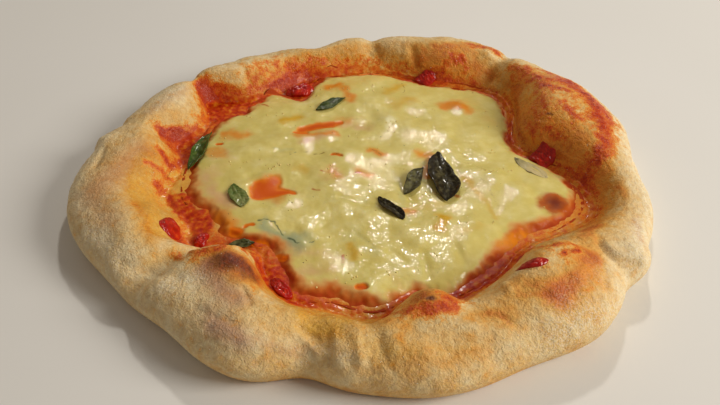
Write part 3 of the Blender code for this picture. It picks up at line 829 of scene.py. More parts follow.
# The cheese: torn pieces of soft white cheese that have melted into one sheet over the sauce.
# Each piece leaves a soft lump. Oil stands in flat pools between them, orange where the sauce has tinted it.
CHEESE_THICKNESS = 0.0032
CHEESE_EDGE_THICKNESS = 0.0012
CHEESE_EDGE_FALL = 8
CHEESE_NOISE = 0.0009
CHEESE_NOISE_SPAN = 0.013
CHEESE_SWELLS = (
    (0.030, 0.036, 0.022, 0.0016), (-0.010, 0.010, 0.020, 0.0018), (-0.052, 0.024, 0.018, 0.0014),
    (0.052, -0.048, 0.024, 0.0022), (-0.022, -0.040, 0.017, -0.0010), (0.070, -0.008, 0.016, 0.0012),
    (0.004, 0.074, 0.020, 0.0010),
)
# Where the thin rim of the cheese has run further out over the sauce, or shrunk back, in metres by angle.
FILM_LOBES = (
    (124, 5, 0.0090), (103, 6, 0.0045), (141, 5, -0.0050), (6, 9, 0.0030), (30, 12, 0.0022), (60, 9, 0.0022),
    (243, 5, -0.0040), (211, 5, -0.0030), (312, 9, -0.0025), (334, 4, -0.0030),
)
FILM_REACH = 0.0022
# How far in from its edge the cheese is thin enough for the sauce to tint it.
THIN_REACH = 0.006
THIN_LOBES = (
    (200, 22, 0.010), (238, 14, 0.008), (264, 14, 0.008), (338, 14, 0.011), (318, 8, 0.005),
    (150, 10, 0.004),
)
# Noises of the cheese, as (height, span, shift): its edge, its thin rim, its strokes and its skin.
EDGE_NOISE = ((0.0022, 0.009, 61.0), (0.0013, 0.003, 67.0))
EDGE_INSET = 0.0022
THIN_NOISE = ((0.003, 0.008, 91.0),)
WANDER = 0.0022
WANDER_SPAN = 0.008
RIPPLES = ((0.00007, 0.0030, 71.0), (0.00004, 0.0018, 73.0), (0.00014, 0.0060, 79.0))
# The share of the strokes' height that is left after melting, and how deep oil pools and the edge lie.
STROKES_LEFT = 0.55
POOL_DEPTH = 0.0004
EDGE_DEPTH = 0.0005
LIP_WIDTH = 0.0065
FULL_LUMP = 0.0016
SPECKLED_SPAN = 0.016
BEADED_SPAN = 0.011
CHEESE_BEDDING = 0.0008
CHEESE_CELLS = 300
CURDS = 150
CURDS_REACH = 0.116
CURD_RADIUS = (0.0045, 0.0110)
CURD_HEIGHT = (0.0001, 0.0006)
CURD_SEED = 12
MELTING = 14
POOLS = (
    (3.2, 1.0, (-35, 39), (-27, 42), (-19, 43)),
    (2.0, 0.9, (-20, 44), (-13, 46)),
    (1.8, 0.8, (-38, 35), (-32, 35)),
    (5.0, 1.0, (-52, -17), (-49, -13), (-47, -8)),
    (3.2, 1.0, (-48, -18), (-42, -17)),
    (1.8, 0.8, (-40, -17), (-36, -18)),
    (3.6, 1.0, (-54, -12), (-53, -19)),
    (1.4, 1.0, (-81, 25), (-79, 25)),
    (2.0, 1.0, (-1, -83), (2, -82)),
    (2.6, 0.9, (-63, -46), (-60, -46)),
    (2.2, 0.8, (-51, -54), (-47, -54)),
    (2.2, 0.85, (-40, -62), (-36, -64)),
    (1.2, 0.7, (-57, -43), (-54, -42)),
    (1.2, 0.8, (-16, 14), (-12, 12)),
)
ORANGE_TINTS = (
    (3.4, 0.9, (48, 66), (55, 69), (61, 64)),
    (3.0, 0.8, (-22, 84), (-15, 88)),
    (2.0, 0.7, (-38, 31), (-30, 33), (-14, 34)),
    (2.0, 0.8, (5, 17), (12, 16)),
    (3.0, 0.8, (-12, 81), (-7, 69)),
    (3.4, 0.7, (-78, 33), (-66, 33)),
    (3.0, 0.6, (-83, 19), (-77, 13)),
    (3.0, 0.8, (31, 18), (37, 16)),
    (2.6, 0.8, (38, 9), (35, 0)),
    (2.3, 0.7, (22, -30), (25, -31)),
    (3.6, 0.7, (-17, -1), (-15, -3)),
    (3.0, 0.7, (-1, 0), (3, -3)),
    (5.0, 0.6, (-52, -10), (-44, -20)),
    (4.0, 0.5, (-30, 40), (-10, 48)),
    (4.0, 0.7, (70, -52), (84, -44)),
    (4.0, 0.6, (-72, -34), (-62, -44)),
)
OIL_LINES = (
    (0.5, 0.9, (-34, 16), (-27, 15), (-20, 17), (-12, 12)),
    (0.45, 0.8, (21, 96), (25, 83), (22, 73)),
    (0.45, 0.7, (57, -6), (65, -13), (69, -21), (72, -31)),
    (0.4, 0.6, (55, 13), (64, 6), (71, -1)),
    (0.4, 0.6, (63, -3), (69, -18)),
    (0.4, 0.55, (47, -31), (54, -34), (64, -41)),
    (0.4, 0.55, (38, -62), (40, -66), (36, -74)),
    (0.4, 0.5, (11, 25), (16, 20)),
    (0.5, 0.7, (5, 19), (10, 16), (13, 11)),
    (0.4, 0.5, (-5, -6), (-2, -11)),
    (0.5, 0.6, (14, -75), (17, -77)),
)
YELLOW_OIL = (
    (3.0, 0.8, (-45, 47), (-38, 51)),
    (5.0, 0.55, (19, 66), (27, 71)),
    (3.0, 0.6, (14, 79), (22, 88)),
    (2.2, 0.7, (50, 66), (55, 66)),
    (2.6, 1.0, (39, -43), (41, -36)),
    (2.6, 0.7, (55, -3), (58, -8)),
    (1.6, 0.55, (59, -13), (64, -22), (67, -33)),
    (2.4, 0.6, (-6, -56), (-3, -64)),
    (5.0, 0.35, (25, -26), (40, -26)),
    (6.0, 0.35, (64, 74), (74, 53)),
    (3.0, 0.5, (-35, 4), (-30, 1)),
    (3.0, 0.45, (4, 19), (11, 12)),
    (5.0, 0.4, (-15, 81), (10, 97)),
    (3.0, 0.4, (43, -52), (58, -41)),
)
GREEN_TINTS = (
    (5, 0.75, (-49, -41), (-41, -49), (-30, -57)),
    (5, 0.55, (-32, -49), (-24, -51)),
    (4, 0.45, (-67, -21), (-62, -24)),
    (7, 0.35, (-5, -46), (7, -59)),
    (4, 0.35, (83, 66), (84, 37)),
    (6, 0.30, (-16, -20), (-1, -27)),
    (3, 0.40, (-48, 19), (-40, 18)),
    (3, 0.40, (20, -15), (23, -39)),
)
HERB_VEINS = (
    (0.7, 1.0, (-52, -40), (-49, -38), (-43, -40), (-40, -45), (-36, -51), (-31, -55), (-27, -55),
     (-21, -51)),
    (0.6, 0.7, (-44, 10), (-37, 16)),
    (0.6, 0.6, (-26, 94), (-22, 101)),
)
PINK_TINTS = (
    (5, 0.75, (-33, 26), (-26, 30), (-18, 34)),
    (4, 0.60, (-11, 45), (1, 39)),
    (4.5, 0.55, (107, 2), (116, 0)),
    (5, 0.55, (-28, -74), (-14, -72)),
    (5, 0.45, (-34, -59), (-12, -63)),
    (4, 0.60, (-77, -16), (-70, -24)),
    (3, 0.50, (-43, -17), (-34, -17)),
    (3.5, 0.60, (-70, -22), (-65, -29)),
    (3, 0.60, (33, -1), (36, 2)),
    (4, 0.40, (-2, 49), (5, 43)),
    (4, 0.40, (14, -74), (19, -82)),
    (4, 0.45, (95, 11), (101, 6)),
    (7, 0.40, (-73, 11), (-80, -4)),
    (6, 0.35, (-22, 1), (-12, -12)),
    (6, 0.50, (-84, -4), (-76, -31)),
)
CHEESE_BROWNED = (
    (7.4, 1.0, (98.5, -21), (100.5, -20)),
    (1.2, 0.7, (-22, 0), (-19, -2)),
    (1.2, 0.6, (-16, -1), (-14, -3)),
    (1.6, 0.6, (-3, -1), (0, -1)),
    (1.3, 0.5, (-61, 66), (-57, 63)),
    (2.6, 0.7, (87, -44), (90, -47)),
    (1.2, 0.5, (-8, -63), (-8, -67)),
    (1.2, 0.5, (-26, -14), (-22, -15)),
    (1.5, 0.55, (36, 4), (39, 13)),
    (1.6, 0.5, (48, -18), (50, -19)),
)
CHEESE_LUMPS = (
    (6, 1.2, (-32, 26), (-22, 32)),
    (5, 1.1, (-31, -38), (-27, -42)),
    (5, 1.2, (-75, -45), (-70, -48)),
    (5.5, 1.4, (3, -88), (6, -84)),
    (5, 1.0, (-5, -2), (1, -6)),
    (6, 0.9, (-67, 16), (-55, 17)),
    (5, 1.1, (-63, -14), (-60, -18)),
    (5, 0.8, (-54, 6), (-47, 9)),
    (5, 0.9, (-24, -15), (-17, -12)),
    (6, 0.8, (29, -42), (24, -44)),
    (5, 0.9, (55, 4), (60, 1)),
    (6, 0.9, (56, -65), (62, -61)),
    (6, 0.9, (20, -71), (25, -75)),
    (6, 0.9, (38, -66), (41, -71)),
    (5, 0.8, (81, -10), (84, -15)),
    (6, 0.9, (5, 69), (14, 48)),
    (7, 1.0, (-9, 88), (10, 97)),
    (6, 0.8, (34, 63), (28, 76)),
    (6, 0.8, (61, 36), (70, 31)),
    (5, 0.9, (17, 50), (24, 46)),
    (5, 0.8, (87, -28), (89, -32)),
    (4, 0.9, (-32, -52), (-27, -49)),
    (5, 0.8, (-12, -44), (-6, -42)),
    (6, 1.0, (-27, 70), (-38, 66)),
    (5, 0.7, (-77, 53), (-67, 56)),
    (7, 0.8, (-11, -30), (-1, -34)),
    (2.2, -0.8, (-11, -20), (5, -26), (18, -28)),
    (2.4, -0.9, (28, 13), (38, 21)),
    (2.0, -0.8, (20, -7), (26, -21)),
    (2.0, -0.7, (-2, -48), (5, -56)),
    (2.4, -0.8, (46, 18), (51, 8)),
    (3.0, -0.8, (-32, -44), (-24, -55)),
    (2.5, -0.7, (-60, -5), (-54, 0)),
    (2.0, -0.7, (-46, 17), (-35, 18)),
    (2.4, -0.8, (14, -59), (21, -66)),
    (2.2, -0.7, (30, -60), (32, -75)),
    (2.2, -0.8, (46, -56), (49, -66)),
    (2.4, -0.7, (69, -43), (74, -51)),
    (3.0, -0.7, (80, 54), (81, 25)),
)


def cheese_height(points):
    """Thickness of the cheese's main form at these points of its bed."""
    thickness = CHEESE_THICKNESS + CHEESE_NOISE * soft_noise(points, CHEESE_NOISE_SPAN)
    for x, y, radius, height in CHEESE_SWELLS:
        thickness += mound(points, x, y, radius, height)
    return thickness


def curd_relief(points):
    """Soft lumps left by the torn pieces, with creases where two of them meet."""
    draw = np.random.default_rng(CURD_SEED)
    total = np.zeros(len(points))
    for _ in range(CURDS):
        turn, distance = draw.uniform(0, 2 * math.pi), math.sqrt(draw.uniform()) * CURDS_REACH
        radius, height = draw.uniform(*CURD_RADIUS), draw.uniform(*CURD_HEIGHT)
        stretch, heading = draw.uniform(0.7, 1.4), draw.uniform(0, math.pi)
        x, y = points[:, 0] - distance * math.cos(turn), points[:, 1] - distance * math.sin(turn)
        along = (x * math.cos(heading) + y * math.sin(heading)) / (radius * stretch)
        across = (y * math.cos(heading) - x * math.sin(heading)) * stretch / radius
        body = np.clip(1 - along**2 - across**2, 0.0, 1.0)
        total = np.maximum(total, height * body**2)
    return total


def melted(grid, rounds):
    """A grid of heights, softened by taking each point's neighbours into it again and again."""
    for _ in range(rounds):
        padded = np.pad(grid, 1, mode="edge")
        grid = (padded[:-2, 1:-1] + padded[2:, 1:-1] + padded[1:-1, :-2] + padded[1:-1, 2:] + 2 * grid) / 6
    return grid


def disc_grid(cells):
    """A square grid drawn onto a round disc: angle in degrees and share of the radius for each point."""
    line = np.linspace(-1.0, 1.0, cells + 1)
    a, b = np.meshgrid(line, line, indexing="ij")
    wide = np.abs(a) >= np.abs(b)
    share = np.where(wide, np.abs(a), np.abs(b))
    ratio = np.where(wide, b / np.where(a == 0, 1, a), a / np.where(b == 0, 1, b))
    turn = np.where(wide, ratio * 45.0, 90.0 - ratio * 45.0)
    turn = np.where(np.where(wide, a, b) < 0, turn + 180.0, turn)
    return turn % 360.0, share


cheese_angle, cheese_share = disc_grid(CHEESE_CELLS)
cheese_bed_height = FLOOR_THICKNESS + LAYER_GAP + SAUCE_THICKNESS + LAYER_GAP
film_edge = cheese_edge(cheese_angle) + lobes(cheese_angle, FILM_LOBES) + FILM_REACH
cheese_radius = cheese_share * film_edge
sauce_under = inner_height(cheese_angle, cheese_radius) + LAYER_GAP + SAUCE_EDGE_THICKNESS
cheese_bed = at(cheese_angle, cheese_radius, np.maximum(cheese_bed_height, sauce_under))
on_plan = cheese_bed * (1, 1, 0)
ragged_plan = ragged(on_plan)
wander = [soft_noise(on_plan, WANDER_SPAN, 101.0), soft_noise(on_plan, WANDER_SPAN, 103.0), on_plan[..., 2]]
wandering = ragged_plan + WANDER * np.stack(wander, axis=-1)
cheese_marks = {
    "pool": brushed(0.5 * (wandering + on_plan), POOLS, on_flat),
    "orange": 0.9 * brushed(wandering, ORANGE_TINTS, on_flat, spread=1.5),
    "line": brushed(ragged_plan, OIL_LINES, on_flat),
    "yellow": 0.9 * brushed(wandering, YELLOW_OIL, on_flat, spread=1.5),
    "green": brushed(wandering, GREEN_TINTS, on_flat),
    "vein": 0.7 * brushed(ragged_plan, HERB_VEINS, on_flat),
    "pink": brushed(wandering, PINK_TINTS, on_flat),
    "browned": brushed(ragged_plan, CHEESE_BROWNED, on_flat),
}
from_edge = (1 - cheese_share) * film_edge
edge_wobble = EDGE_INSET + layered_noise(on_plan, EDGE_NOISE)
thin_reach = THIN_REACH + lobes(cheese_angle, THIN_LOBES)
thin_wobble = edge_wobble + layered_noise(on_plan, THIN_NOISE)
cheese_marks["thin"] = 1 - ease((from_edge - thin_wobble) / thin_reach, 0.0, 1.0)
fall = np.clip(cheese_radius / cheese_edge(cheese_angle), 0.0, 1.0) ** CHEESE_EDGE_FALL
main_form = cheese_height(cheese_bed) * (1 - fall) + 0.7 * CHEESE_EDGE_THICKNESS * fall
curds = melted(curd_relief(on_plan.reshape(-1, 3)).reshape(fall.shape), MELTING)
strokes = STROKES_LEFT * raised(on_plan, CHEESE_LUMPS, on_flat)
ripple = layered_noise(on_plan, RIPPLES)
still = np.clip(1 - 1.1 * ease(cheese_marks["pool"], 0.25, 0.6), 0.0, 1.0)
swell = (curds + strokes) * still - POOL_DEPTH * (1 - still)
lip = ease(from_edge - edge_wobble, 0.0, LIP_WIDTH)
raised_skin = (swell + ripple * still) * ease(from_edge, 0.001, 0.012)
cheese_top = (main_form + raised_skin) * lip - EDGE_DEPTH * (1 - lip)
sheltered = (1 - cheese_marks["thin"]) * still
cheese_marks["speckled"] = sheltered * ease(soft_noise(on_plan, SPECKLED_SPAN, 83.0), -0.3, 0.4)
cheese_marks["beaded"] = sheltered * ease(soft_noise(on_plan, BEADED_SPAN, 87.0), 0.1, 0.6)
cheese_marks["lump"] = np.clip((curds + strokes + ripple) / FULL_LUMP, 0.0, 1.0)
cheese_skin = cheese_bed.copy()
cheese_skin[..., 2] += cheese_top

# Melted cheese: soft, milky and slightly see-through, wet with its own oil. The eye gets pale yellow with
# whiter lumps, light that sinks in a few millimetres, and many small sharp glints.
melted_cheese, tree = new_material("melted_cheese")
place = node(tree, "ShaderNodeTexCoord").outputs["Object"]
mottle = node(tree, "ShaderNodeTexNoise", {"Vector": place, "Scale": 1 / 0.006, "Detail": 5.0})
fine = node(tree, "ShaderNodeTexNoise", {"Vector": place, "Scale": 1 / 0.0014, "Detail": 3.0})
body = node(tree, "ShaderNodeMath", {0: mark(tree, "lump"), 1: 0.55, 2: mottle}, operation="MULTIPLY_ADD")
colour = node(tree, "ShaderNodeValToRGB", {0: body}, stops=(
    (0.3, "D3C268"), (0.55, "D9C974"), (0.8, "E2D488"), (1.0, "EBE2AC")))
uneven = node(tree, "ShaderNodeMath", {0: mottle, 1: 1.0, 2: -0.5}, operation="MULTIPLY_ADD")
for name, low, high, code in (
    ("green", 0.1, 1.0, "9AA682"),
    ("pink", 0.1, 1.1, "D2A076"),
    ("yellow", 0.1, 0.8, "D2A200"),
    ("thin", 0.1, 0.6, "D69E5A"),
    ("thin", 0.4, 0.85, "C4661E"),
    ("thin", 0.7, 1.0, "AC3C0C"),
    ("orange", 0.1, 0.8, "DE8610"),
    ("pool", 0.12, 0.6, "E07000"),
    ("pool", 0.6, 1.0, "D45600"),
    ("line", 0.2, 0.8, "8A6A10"),
    ("vein", 0.2, 0.7, "5C6A48"),
    ("browned", 0.15, 0.6, "B4520A"),
    ("browned", 0.55, 1.1, "742406"),
):
    amount = node(tree, "ShaderNodeMath", {0: uneven, 1: 0.5, 2: mark(tree, name)}, operation="MULTIPLY_ADD")
    amount = node(tree, "ShaderNodeMapRange", {0: amount, 1: low, 2: high, 3: 0.0, 4: 0.96},
                  interpolation_type="SMOOTHSTEP")
    colour = node(tree, "ShaderNodeMix", {0: amount, 6: colour, 7: linear(code)}, data_type="RGBA")
grain = node(tree, "ShaderNodeBump", {"Height": fine, "Strength": 0.1, "Distance": 0.0005})
swells = node(tree, "ShaderNodeTexNoise", {"Vector": place, "Scale": 1 / 0.0023, "Detail": 2.0})
beads = node(tree, "ShaderNodeBump", {"Height": swells, "Strength": 1.0, "Distance": 0.00036})
rough = node(tree, "ShaderNodeMapRange", {0: mottle, 1: 0.35, 2: 0.65, 3: 0.3, 4: 0.45})
rough = node(tree, "ShaderNodeMath", {0: mark(tree, "thin"), 1: 0.3, 2: rough}, operation="MULTIPLY_ADD")
runny = node(tree, "ShaderNodeMath", {0: mark(tree, "pool"), 1: mark(tree, "thin")}, operation="MAXIMUM")
milky = node(tree, "ShaderNodeMapRange", {0: runny, 1: 0.2, 2: 0.6, 3: 0.15, 4: 0.0})
glossy = node(tree, "ShaderNodeMapRange", {0: runny, 1: 0.2, 2: 0.6, 3: 0.5, 4: 0.06})
shade(tree, {
    "Base Color": colour, "Roughness": rough, "Normal": grain, "Specular IOR Level": 0.12,
    "Subsurface Weight": milky, "Subsurface Radius": (0.0040, 0.0028, 0.0012), "Subsurface Scale": 1.0,
    "Coat Weight": glossy, "Coat Normal": beads, "Coat Roughness": 0.05})


def rim_walk(cells):
    """Grid numbers of a square grid's border, in order round it."""
    top = [(cells, k) for k in range(cells)]
    side = [(k, cells) for k in range(cells, 0, -1)]
    bottom = [(0, k) for k in range(cells, 0, -1)]
    back = [(k, 0) for k in range(cells)]
    return [i * (cells + 1) + j for i, j in top + side + bottom + back]


def grid_faces(rows, columns):
    """The four-sided faces of a grid of points, by number."""
    number = np.arange(rows * columns).reshape(rows, columns)
    faces = np.stack([number[:-1, :-1], number[1:, :-1], number[1:, 1:], number[:-1, 1:]], axis=-1)
    return [tuple(face) for face in faces.reshape(-1, 4).tolist()]


def sheet_piece(name, grid, floor_height, marks):
    """A closed piece: a square grid of points on top, walls down from its border, and a flat bottom."""
    cells = len(grid) - 1
    top = grid.reshape(-1, 3)
    border = rim_walk(cells)
    wall = top[border] * (1, 1, 0) + (0, 0, floor_height)
    points = np.concatenate([top, wall, [(0, 0, floor_height)]]) - plan_centre
    faces = grid_faces(cells + 1, cells + 1)
    count, last = len(border), len(points) - 1
    for k in range(count):
        after = (k + 1) % count
        faces.append((border[k], len(top) + k, len(top) + after, border[after]))
        faces.append((last, len(top) + after, len(top) + k))
    closed = {key: np.concatenate([v.ravel(), v.ravel()[border], [0.0]]) for key, v in marks.items()}
    return skinned(name, points, faces, closed)


cheese_floor = cheese_bed_height - CHEESE_BEDDING
cheese = sheet_piece("melted_cheese_sheet", cheese_skin, cheese_floor, cheese_marks)
cheese.data.materials.append(melted_cheese)
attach(cheese, "root")
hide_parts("cheese")

# The basil: whole leaves laid on before baking. The oven wilts them, so they shrink, darken and curl,
# and each lies in the melted cheese with its rib standing up and its sides curled up.
LEAF_THICKNESS = 0.0005
LEAF_ROWS = 64
LEAF_COLUMNS = 22
LEAF_END = 0.10
LEAF_BELLY = 0.80
LEAF_FULLNESS = 0.80
LEAF_BEND = 0.12
LEAF_BEND_WAVE = 0.8
SIDE_CURL = 0.55
RIPPLE_CURL = 0.45
RIPPLE_ALONG = 3.1
RIPPLE_ACROSS = 1.7
TIP_WAVE = 0.05
CREASE_HEIGHT = 0.0009
LEAF_PUCKER_HEIGHT = 0.00035
CREASE_LENGTH = 0.010
CREASE_WIDTH = 0.0030
RIB_WIDTH = 0.07
RIB_HEIGHT = 0.0002
VEIN_WIDTH = 0.12
VEIN_DEPTH = 0.00012
# Turns a leaf's place into a shift of its noise, so that no two leaves crumple alike.
LEAF_VARIETY = 900
RESTING_GAP = 0.0004
ABOVE_EVERYTHING = 0.2
# Each leaf is (node, x, y, heading, length, width, curl, crumple, green, film, sink): how crumpled it is, how
# green it has stayed, how far cheese films it over, and how deep it has sunk in.
BASIL_LEAVES = (
    ("basil_leaf_big", 0.0425, -0.0030, 92, 0.040, 0.0150, 0.0034, 0.6, 0.10, 0.0, 0.0),
    ("basil_leaf_curled", 0.0275, -0.0062, 62, 0.023, 0.0085, 0.0024, 0.7, 0.35, 0.10, 0.0005),
    ("basil_leaf_narrow", 0.0149, -0.0288, 124, 0.021, 0.0068, 0.0018, 0.4, 0.0, 0.0, 0.0006),
    ("basil_leaf_left", -0.0902, 0.0200, 76, 0.034, 0.0085, 0.0024, 0.5, 0.75, 0.0, 0.0),
    ("basil_leaf_far", -0.0194, 0.0641, 36, 0.021, 0.0075, 0.0016, 0.4, 0.55, 0.0, 0.0004),
    ("basil_leaf_front_left", -0.0592, -0.0545, 12, 0.015, 0.0065, 0.0012, 0.4, 0.45, 0.12, 0.0003),
    ("basil_leaf_right", 0.0915, 0.0090, 127, 0.023, 0.0085, 0.0006, 0.5, 0.5, 0.9, 0.0010),
    ("basil_leaf_sunk", -0.0639, -0.0208, 108, 0.019, 0.0090, 0.0010, 0.6, 1.0, 0.20, 0.0006),
)

tree_points, tree_faces = [], []
for piece in (crust, sauce, cheese):
    start = len(tree_points)
    tree_points.extend(v.co.copy() for v in piece.data.vertices)
    tree_faces.extend([start + i for i in face.vertices] for face in piece.data.polygons)
carrier = BVHTree.FromPolygons(tree_points, tree_faces)


def height_on(x, y):
    """Height of the layers at a place of the finished model."""
    return carrier.ray_cast(Vector((x, y, ABOVE_EVERYTHING)), Vector((0, 0, -1)))[0].z


def laid(x, y, heading, forward, side):
    """Where a spot of a piece comes to lie: so far forward and to the side of its middle at x, y."""
    turn = math.radians(heading)
    return (x + forward * math.cos(turn) - side * math.sin(turn) - plan_centre[0],
            y + forward * math.sin(turn) + side * math.cos(turn) - plan_centre[1])


# Wilted basil: a thin leaf cooked in oil, nearly black green, with a wet shine on its ribs.
# Where cheese has run over it, the leaf shows milky and grey green.
wilted_basil, tree = new_material("wilted_basil")
place = node(tree, "ShaderNodeTexCoord").outputs["Object"]
mottle = node(tree, "ShaderNodeTexNoise", {"Vector": place, "Scale": 1 / 0.0025, "Detail": 4.0})
fresh = node(tree, "ShaderNodeMath", {0: mottle, 1: 0.7, 2: -0.35}, operation="MULTIPLY_ADD")
fresh = node(tree, "ShaderNodeMath", {0: fresh, 1: mark(tree, "green")}, operation="ADD", use_clamp=True)
colour = node(tree, "ShaderNodeValToRGB", {0: fresh}, stops=(
    (0.0, "1C1303"), (0.3, "2A260A"), (0.6, "32440E"), (1.0, "4A6A1A")))
rib = node(tree, "ShaderNodeMath", {0: mark(tree, "rib"), 1: 0.5}, operation="MULTIPLY")
colour = node(tree, "ShaderNodeMix", {0: rib, 6: colour, 7: linear("5E5C36")}, data_type="RGBA")
film = node(tree, "ShaderNodeMath", {0: mottle, 1: 0.6, 2: -0.3}, operation="MULTIPLY_ADD")
film = node(tree, "ShaderNodeMath", {0: film, 1: mark(tree, "film")}, operation="ADD", use_clamp=True)
colour = node(tree, "ShaderNodeMix", {0: film, 6: colour, 7: linear("C8B884")}, data_type="RGBA")
grain = node(tree, "ShaderNodeBump", {"Height": mottle, "Strength": 0.4, "Distance": 0.0004})
shade(tree, {
    "Base Color": colour, "Normal": grain, "Roughness": 0.45, "Specular IOR Level": 0.1,
    "Coat Weight": 0.25, "Coat Roughness": 0.08})


def make_leaf(name, x, y, heading, length, width, curl, crumple, green, film, sink):
    """A wilted leaf laid on the layers, rippled along its rib and crumpled, with its sides curled up."""
    rows, columns = LEAF_ROWS + 1, LEAF_COLUMNS + 1
    along, across = np.meshgrid(np.linspace(-1, 1, rows), np.linspace(-1, 1, columns), indexing="ij")
    belly = np.sin(math.pi * (0.5 + 0.5 * along) ** LEAF_BELLY).clip(0) ** LEAF_FULLNESS
    taper = LEAF_END + (1 - LEAF_END) * belly
    taper *= 1 + TIP_WAVE * np.sin(9 * along + 40 * x) * np.sign(across) * np.clip(1 - along**2, 0, 1)
    bend = LEAF_BEND * width * np.sin(LEAF_BEND_WAVE * math.pi * along)
    forward = along * length / 2
    side = across * taper * width / 2 + bend
    place_x, place_y = laid(x, y, heading, forward, side)
    ripple = 0.5 + 0.5 * np.sin(RIPPLE_ALONG * along + RIPPLE_ACROSS * across)
    lift = curl * (SIDE_CURL * across * across * taper + RIPPLE_CURL * ripple)
    shift = np.full_like(forward, y * LEAF_VARIETY)
    own = np.stack([forward / CREASE_LENGTH + x * LEAF_VARIETY, side / CREASE_WIDTH, shift], axis=-1)
    creases = 1 - 2 * np.abs(soft_noise(own, 1.0))
    puckers = soft_noise(own, 0.4, 5.0)
    crumpled = CREASE_HEIGHT * creases + LEAF_PUCKER_HEIGHT * puckers
    lift += crumple * crumpled * np.clip(1.15 - along**2, 0, 1)
    rib = np.exp(-((across / RIB_WIDTH) ** 2))
    vein_at = (np.abs(across) * 1.6 + along * 4.2) % 1.0 - 0.5
    veins = np.exp(-(vein_at / VEIN_WIDTH) ** 2) * (1 - rib)
    lift += RIB_HEIGHT * rib - VEIN_DEPTH * veins
    bed = np.array([height_on(a, b) for a, b in zip(place_x.ravel(), place_y.ravel())]).reshape(place_x.shape)
    points = np.stack([place_x, place_y, bed + RESTING_GAP + lift - sink], axis=-1)
    leaf = skinned(name + "_blade", points.reshape(-1, 3), grid_faces(rows, columns), {
        "green": np.full_like(along, green),
        "film": film * (1.0 - 0.6 * along - 0.25 * ease(np.abs(across), 0.8, 1.0) - 0.2 * rib),
        "rib": 0.6 * rib + 0.3 * veins,
    })
    leaf.data.materials.append(wilted_basil)
    blade = leaf.modifiers.new("blade", "SOLIDIFY")
    blade.thickness = LEAF_THICKNESS
    blade.offset = 1.0
    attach(leaf, "root")
    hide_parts(name)


for leaf in BASIL_LEAVES:
    make_leaf(*leaf)

# The tomato pieces: bits of crushed tomato that were left whole in the sauce, baked soft and shiny.
# They lie against the rim's foot, and one on its slope, as the spoon left them.
# Each piece is (node, x, y, heading, length, width, height).
TOMATO_PIECES = (
    ("tomato_far_left", -0.0390, 0.0830, 25, 0.017, 0.0110, 0.0060),
    ("tomato_far", 0.0385, 0.0975, 170, 0.012, 0.0075, 0.0045),
    ("tomato_right", 0.0995, 0.0180, 140, 0.013, 0.0085, 0.0050),
    ("tomato_front_left", -0.0360, -0.0825, 305, 0.016, 0.0075, 0.0040),
    ("tomato_left", -0.0784, -0.0511, 70, 0.010, 0.0070, 0.0035),
    ("tomato_left_strip", -0.0925, -0.0500, 100, 0.015, 0.0085, 0.0030),
    ("tomato_on_rim", 0.0755, -0.0860, 8, 0.013, 0.0058, 0.0028),
)
TOMATO_ROUNDS = 5
TOMATO_UNEVENNESS = 0.30
TOMATO_BUMPS = 1.3
TOMATO_PLEATS = 2.6
TOMATO_FINE_BUMPS = 6.5
TOMATO_VARIETY = 100
TOMATO_CUT = 0.25
TOMATO_SINK = 0.0009

# Cooked tomato flesh: watery fruit under a thin skin, deep red with orange where the flesh shows, very wet.
tomato_flesh, tree = new_material("cooked_tomato_flesh")
place = node(tree, "ShaderNodeTexCoord").outputs["Object"]
mottle = node(tree, "ShaderNodeTexNoise", {"Vector": place, "Scale": 1 / 0.003, "Detail": 4.0})
fine = node(tree, "ShaderNodeTexNoise", {"Vector": place, "Scale": 1 / 0.001, "Detail": 2.0})
colour = node(tree, "ShaderNodeValToRGB", {0: mottle}, stops=(
    (0.3, "960C04"), (0.48, "AA1405"), (0.62, "BE2408"), (0.8, "D04A14")))
grain = node(tree, "ShaderNodeBump", {"Height": fine, "Strength": 0.3, "Distance": 0.0005})
shade(tree, {
    "Base Color": colour, "Normal": grain, "Roughness": 0.22, "Specular IOR Level": 0.2,
    "Subsurface Weight": 0.1, "Subsurface Radius": (0.0030, 0.0008, 0.0004), "Subsurface Scale": 1.0,
    "Coat Weight": 0.5, "Coat Roughness": 0.08})


def make_tomato(name, x, y, heading, length, width, height):
    """A lump of tomato whose underside settles on what carries it."""
    shape = bmesh.new()
    bmesh.ops.create_icosphere(shape, subdivisions=TOMATO_ROUNDS, radius=1.0)
    for vertex in shape.verts:
        bump = noise.noise(vertex.co * TOMATO_BUMPS + Vector((x, y, 0)) * TOMATO_VARIETY)
        pleat = 1 - 2 * abs(noise.noise(vertex.co * TOMATO_PLEATS + Vector((y, x, 0)) * TOMATO_VARIETY))
        fine_bump = noise.noise(vertex.co * TOMATO_FINE_BUMPS + Vector((x, y, 1)) * TOMATO_VARIETY)
        swell = 1 + TOMATO_UNEVENNESS * bump
        forward = vertex.co.x * swell * length / 2
        side = vertex.co.y * swell * width / 2
        place_x, place_y = laid(x, y, heading, forward, side)
        above = (max(vertex.co.z, -TOMATO_CUT) + TOMATO_CUT) / (1 + TOMATO_CUT)
        above *= 0.88 + 0.12 * pleat + 0.08 * fine_bump
        vertex.co = (place_x, place_y, height_on(place_x, place_y) - TOMATO_SINK + above * height)
    mesh = bpy.data.meshes.new(name + "_flesh")
    shape.to_mesh(mesh)
    shape.free()
    mesh.shade_smooth()
    mesh.materials.append(tomato_flesh)
    lump = placed(name + "_flesh", mesh)
    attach(lump, "root")
    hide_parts(name)


for piece in TOMATO_PIECES:
    make_tomato(*piece)

# The small loose things: dried herb flecks and oil droplets on the cheese, and grains of flour on the rim.
# The herb went on before baking, the oil sweated out in the oven, and the flour was left from the bench.
GRAIN_ROUNDS = 1


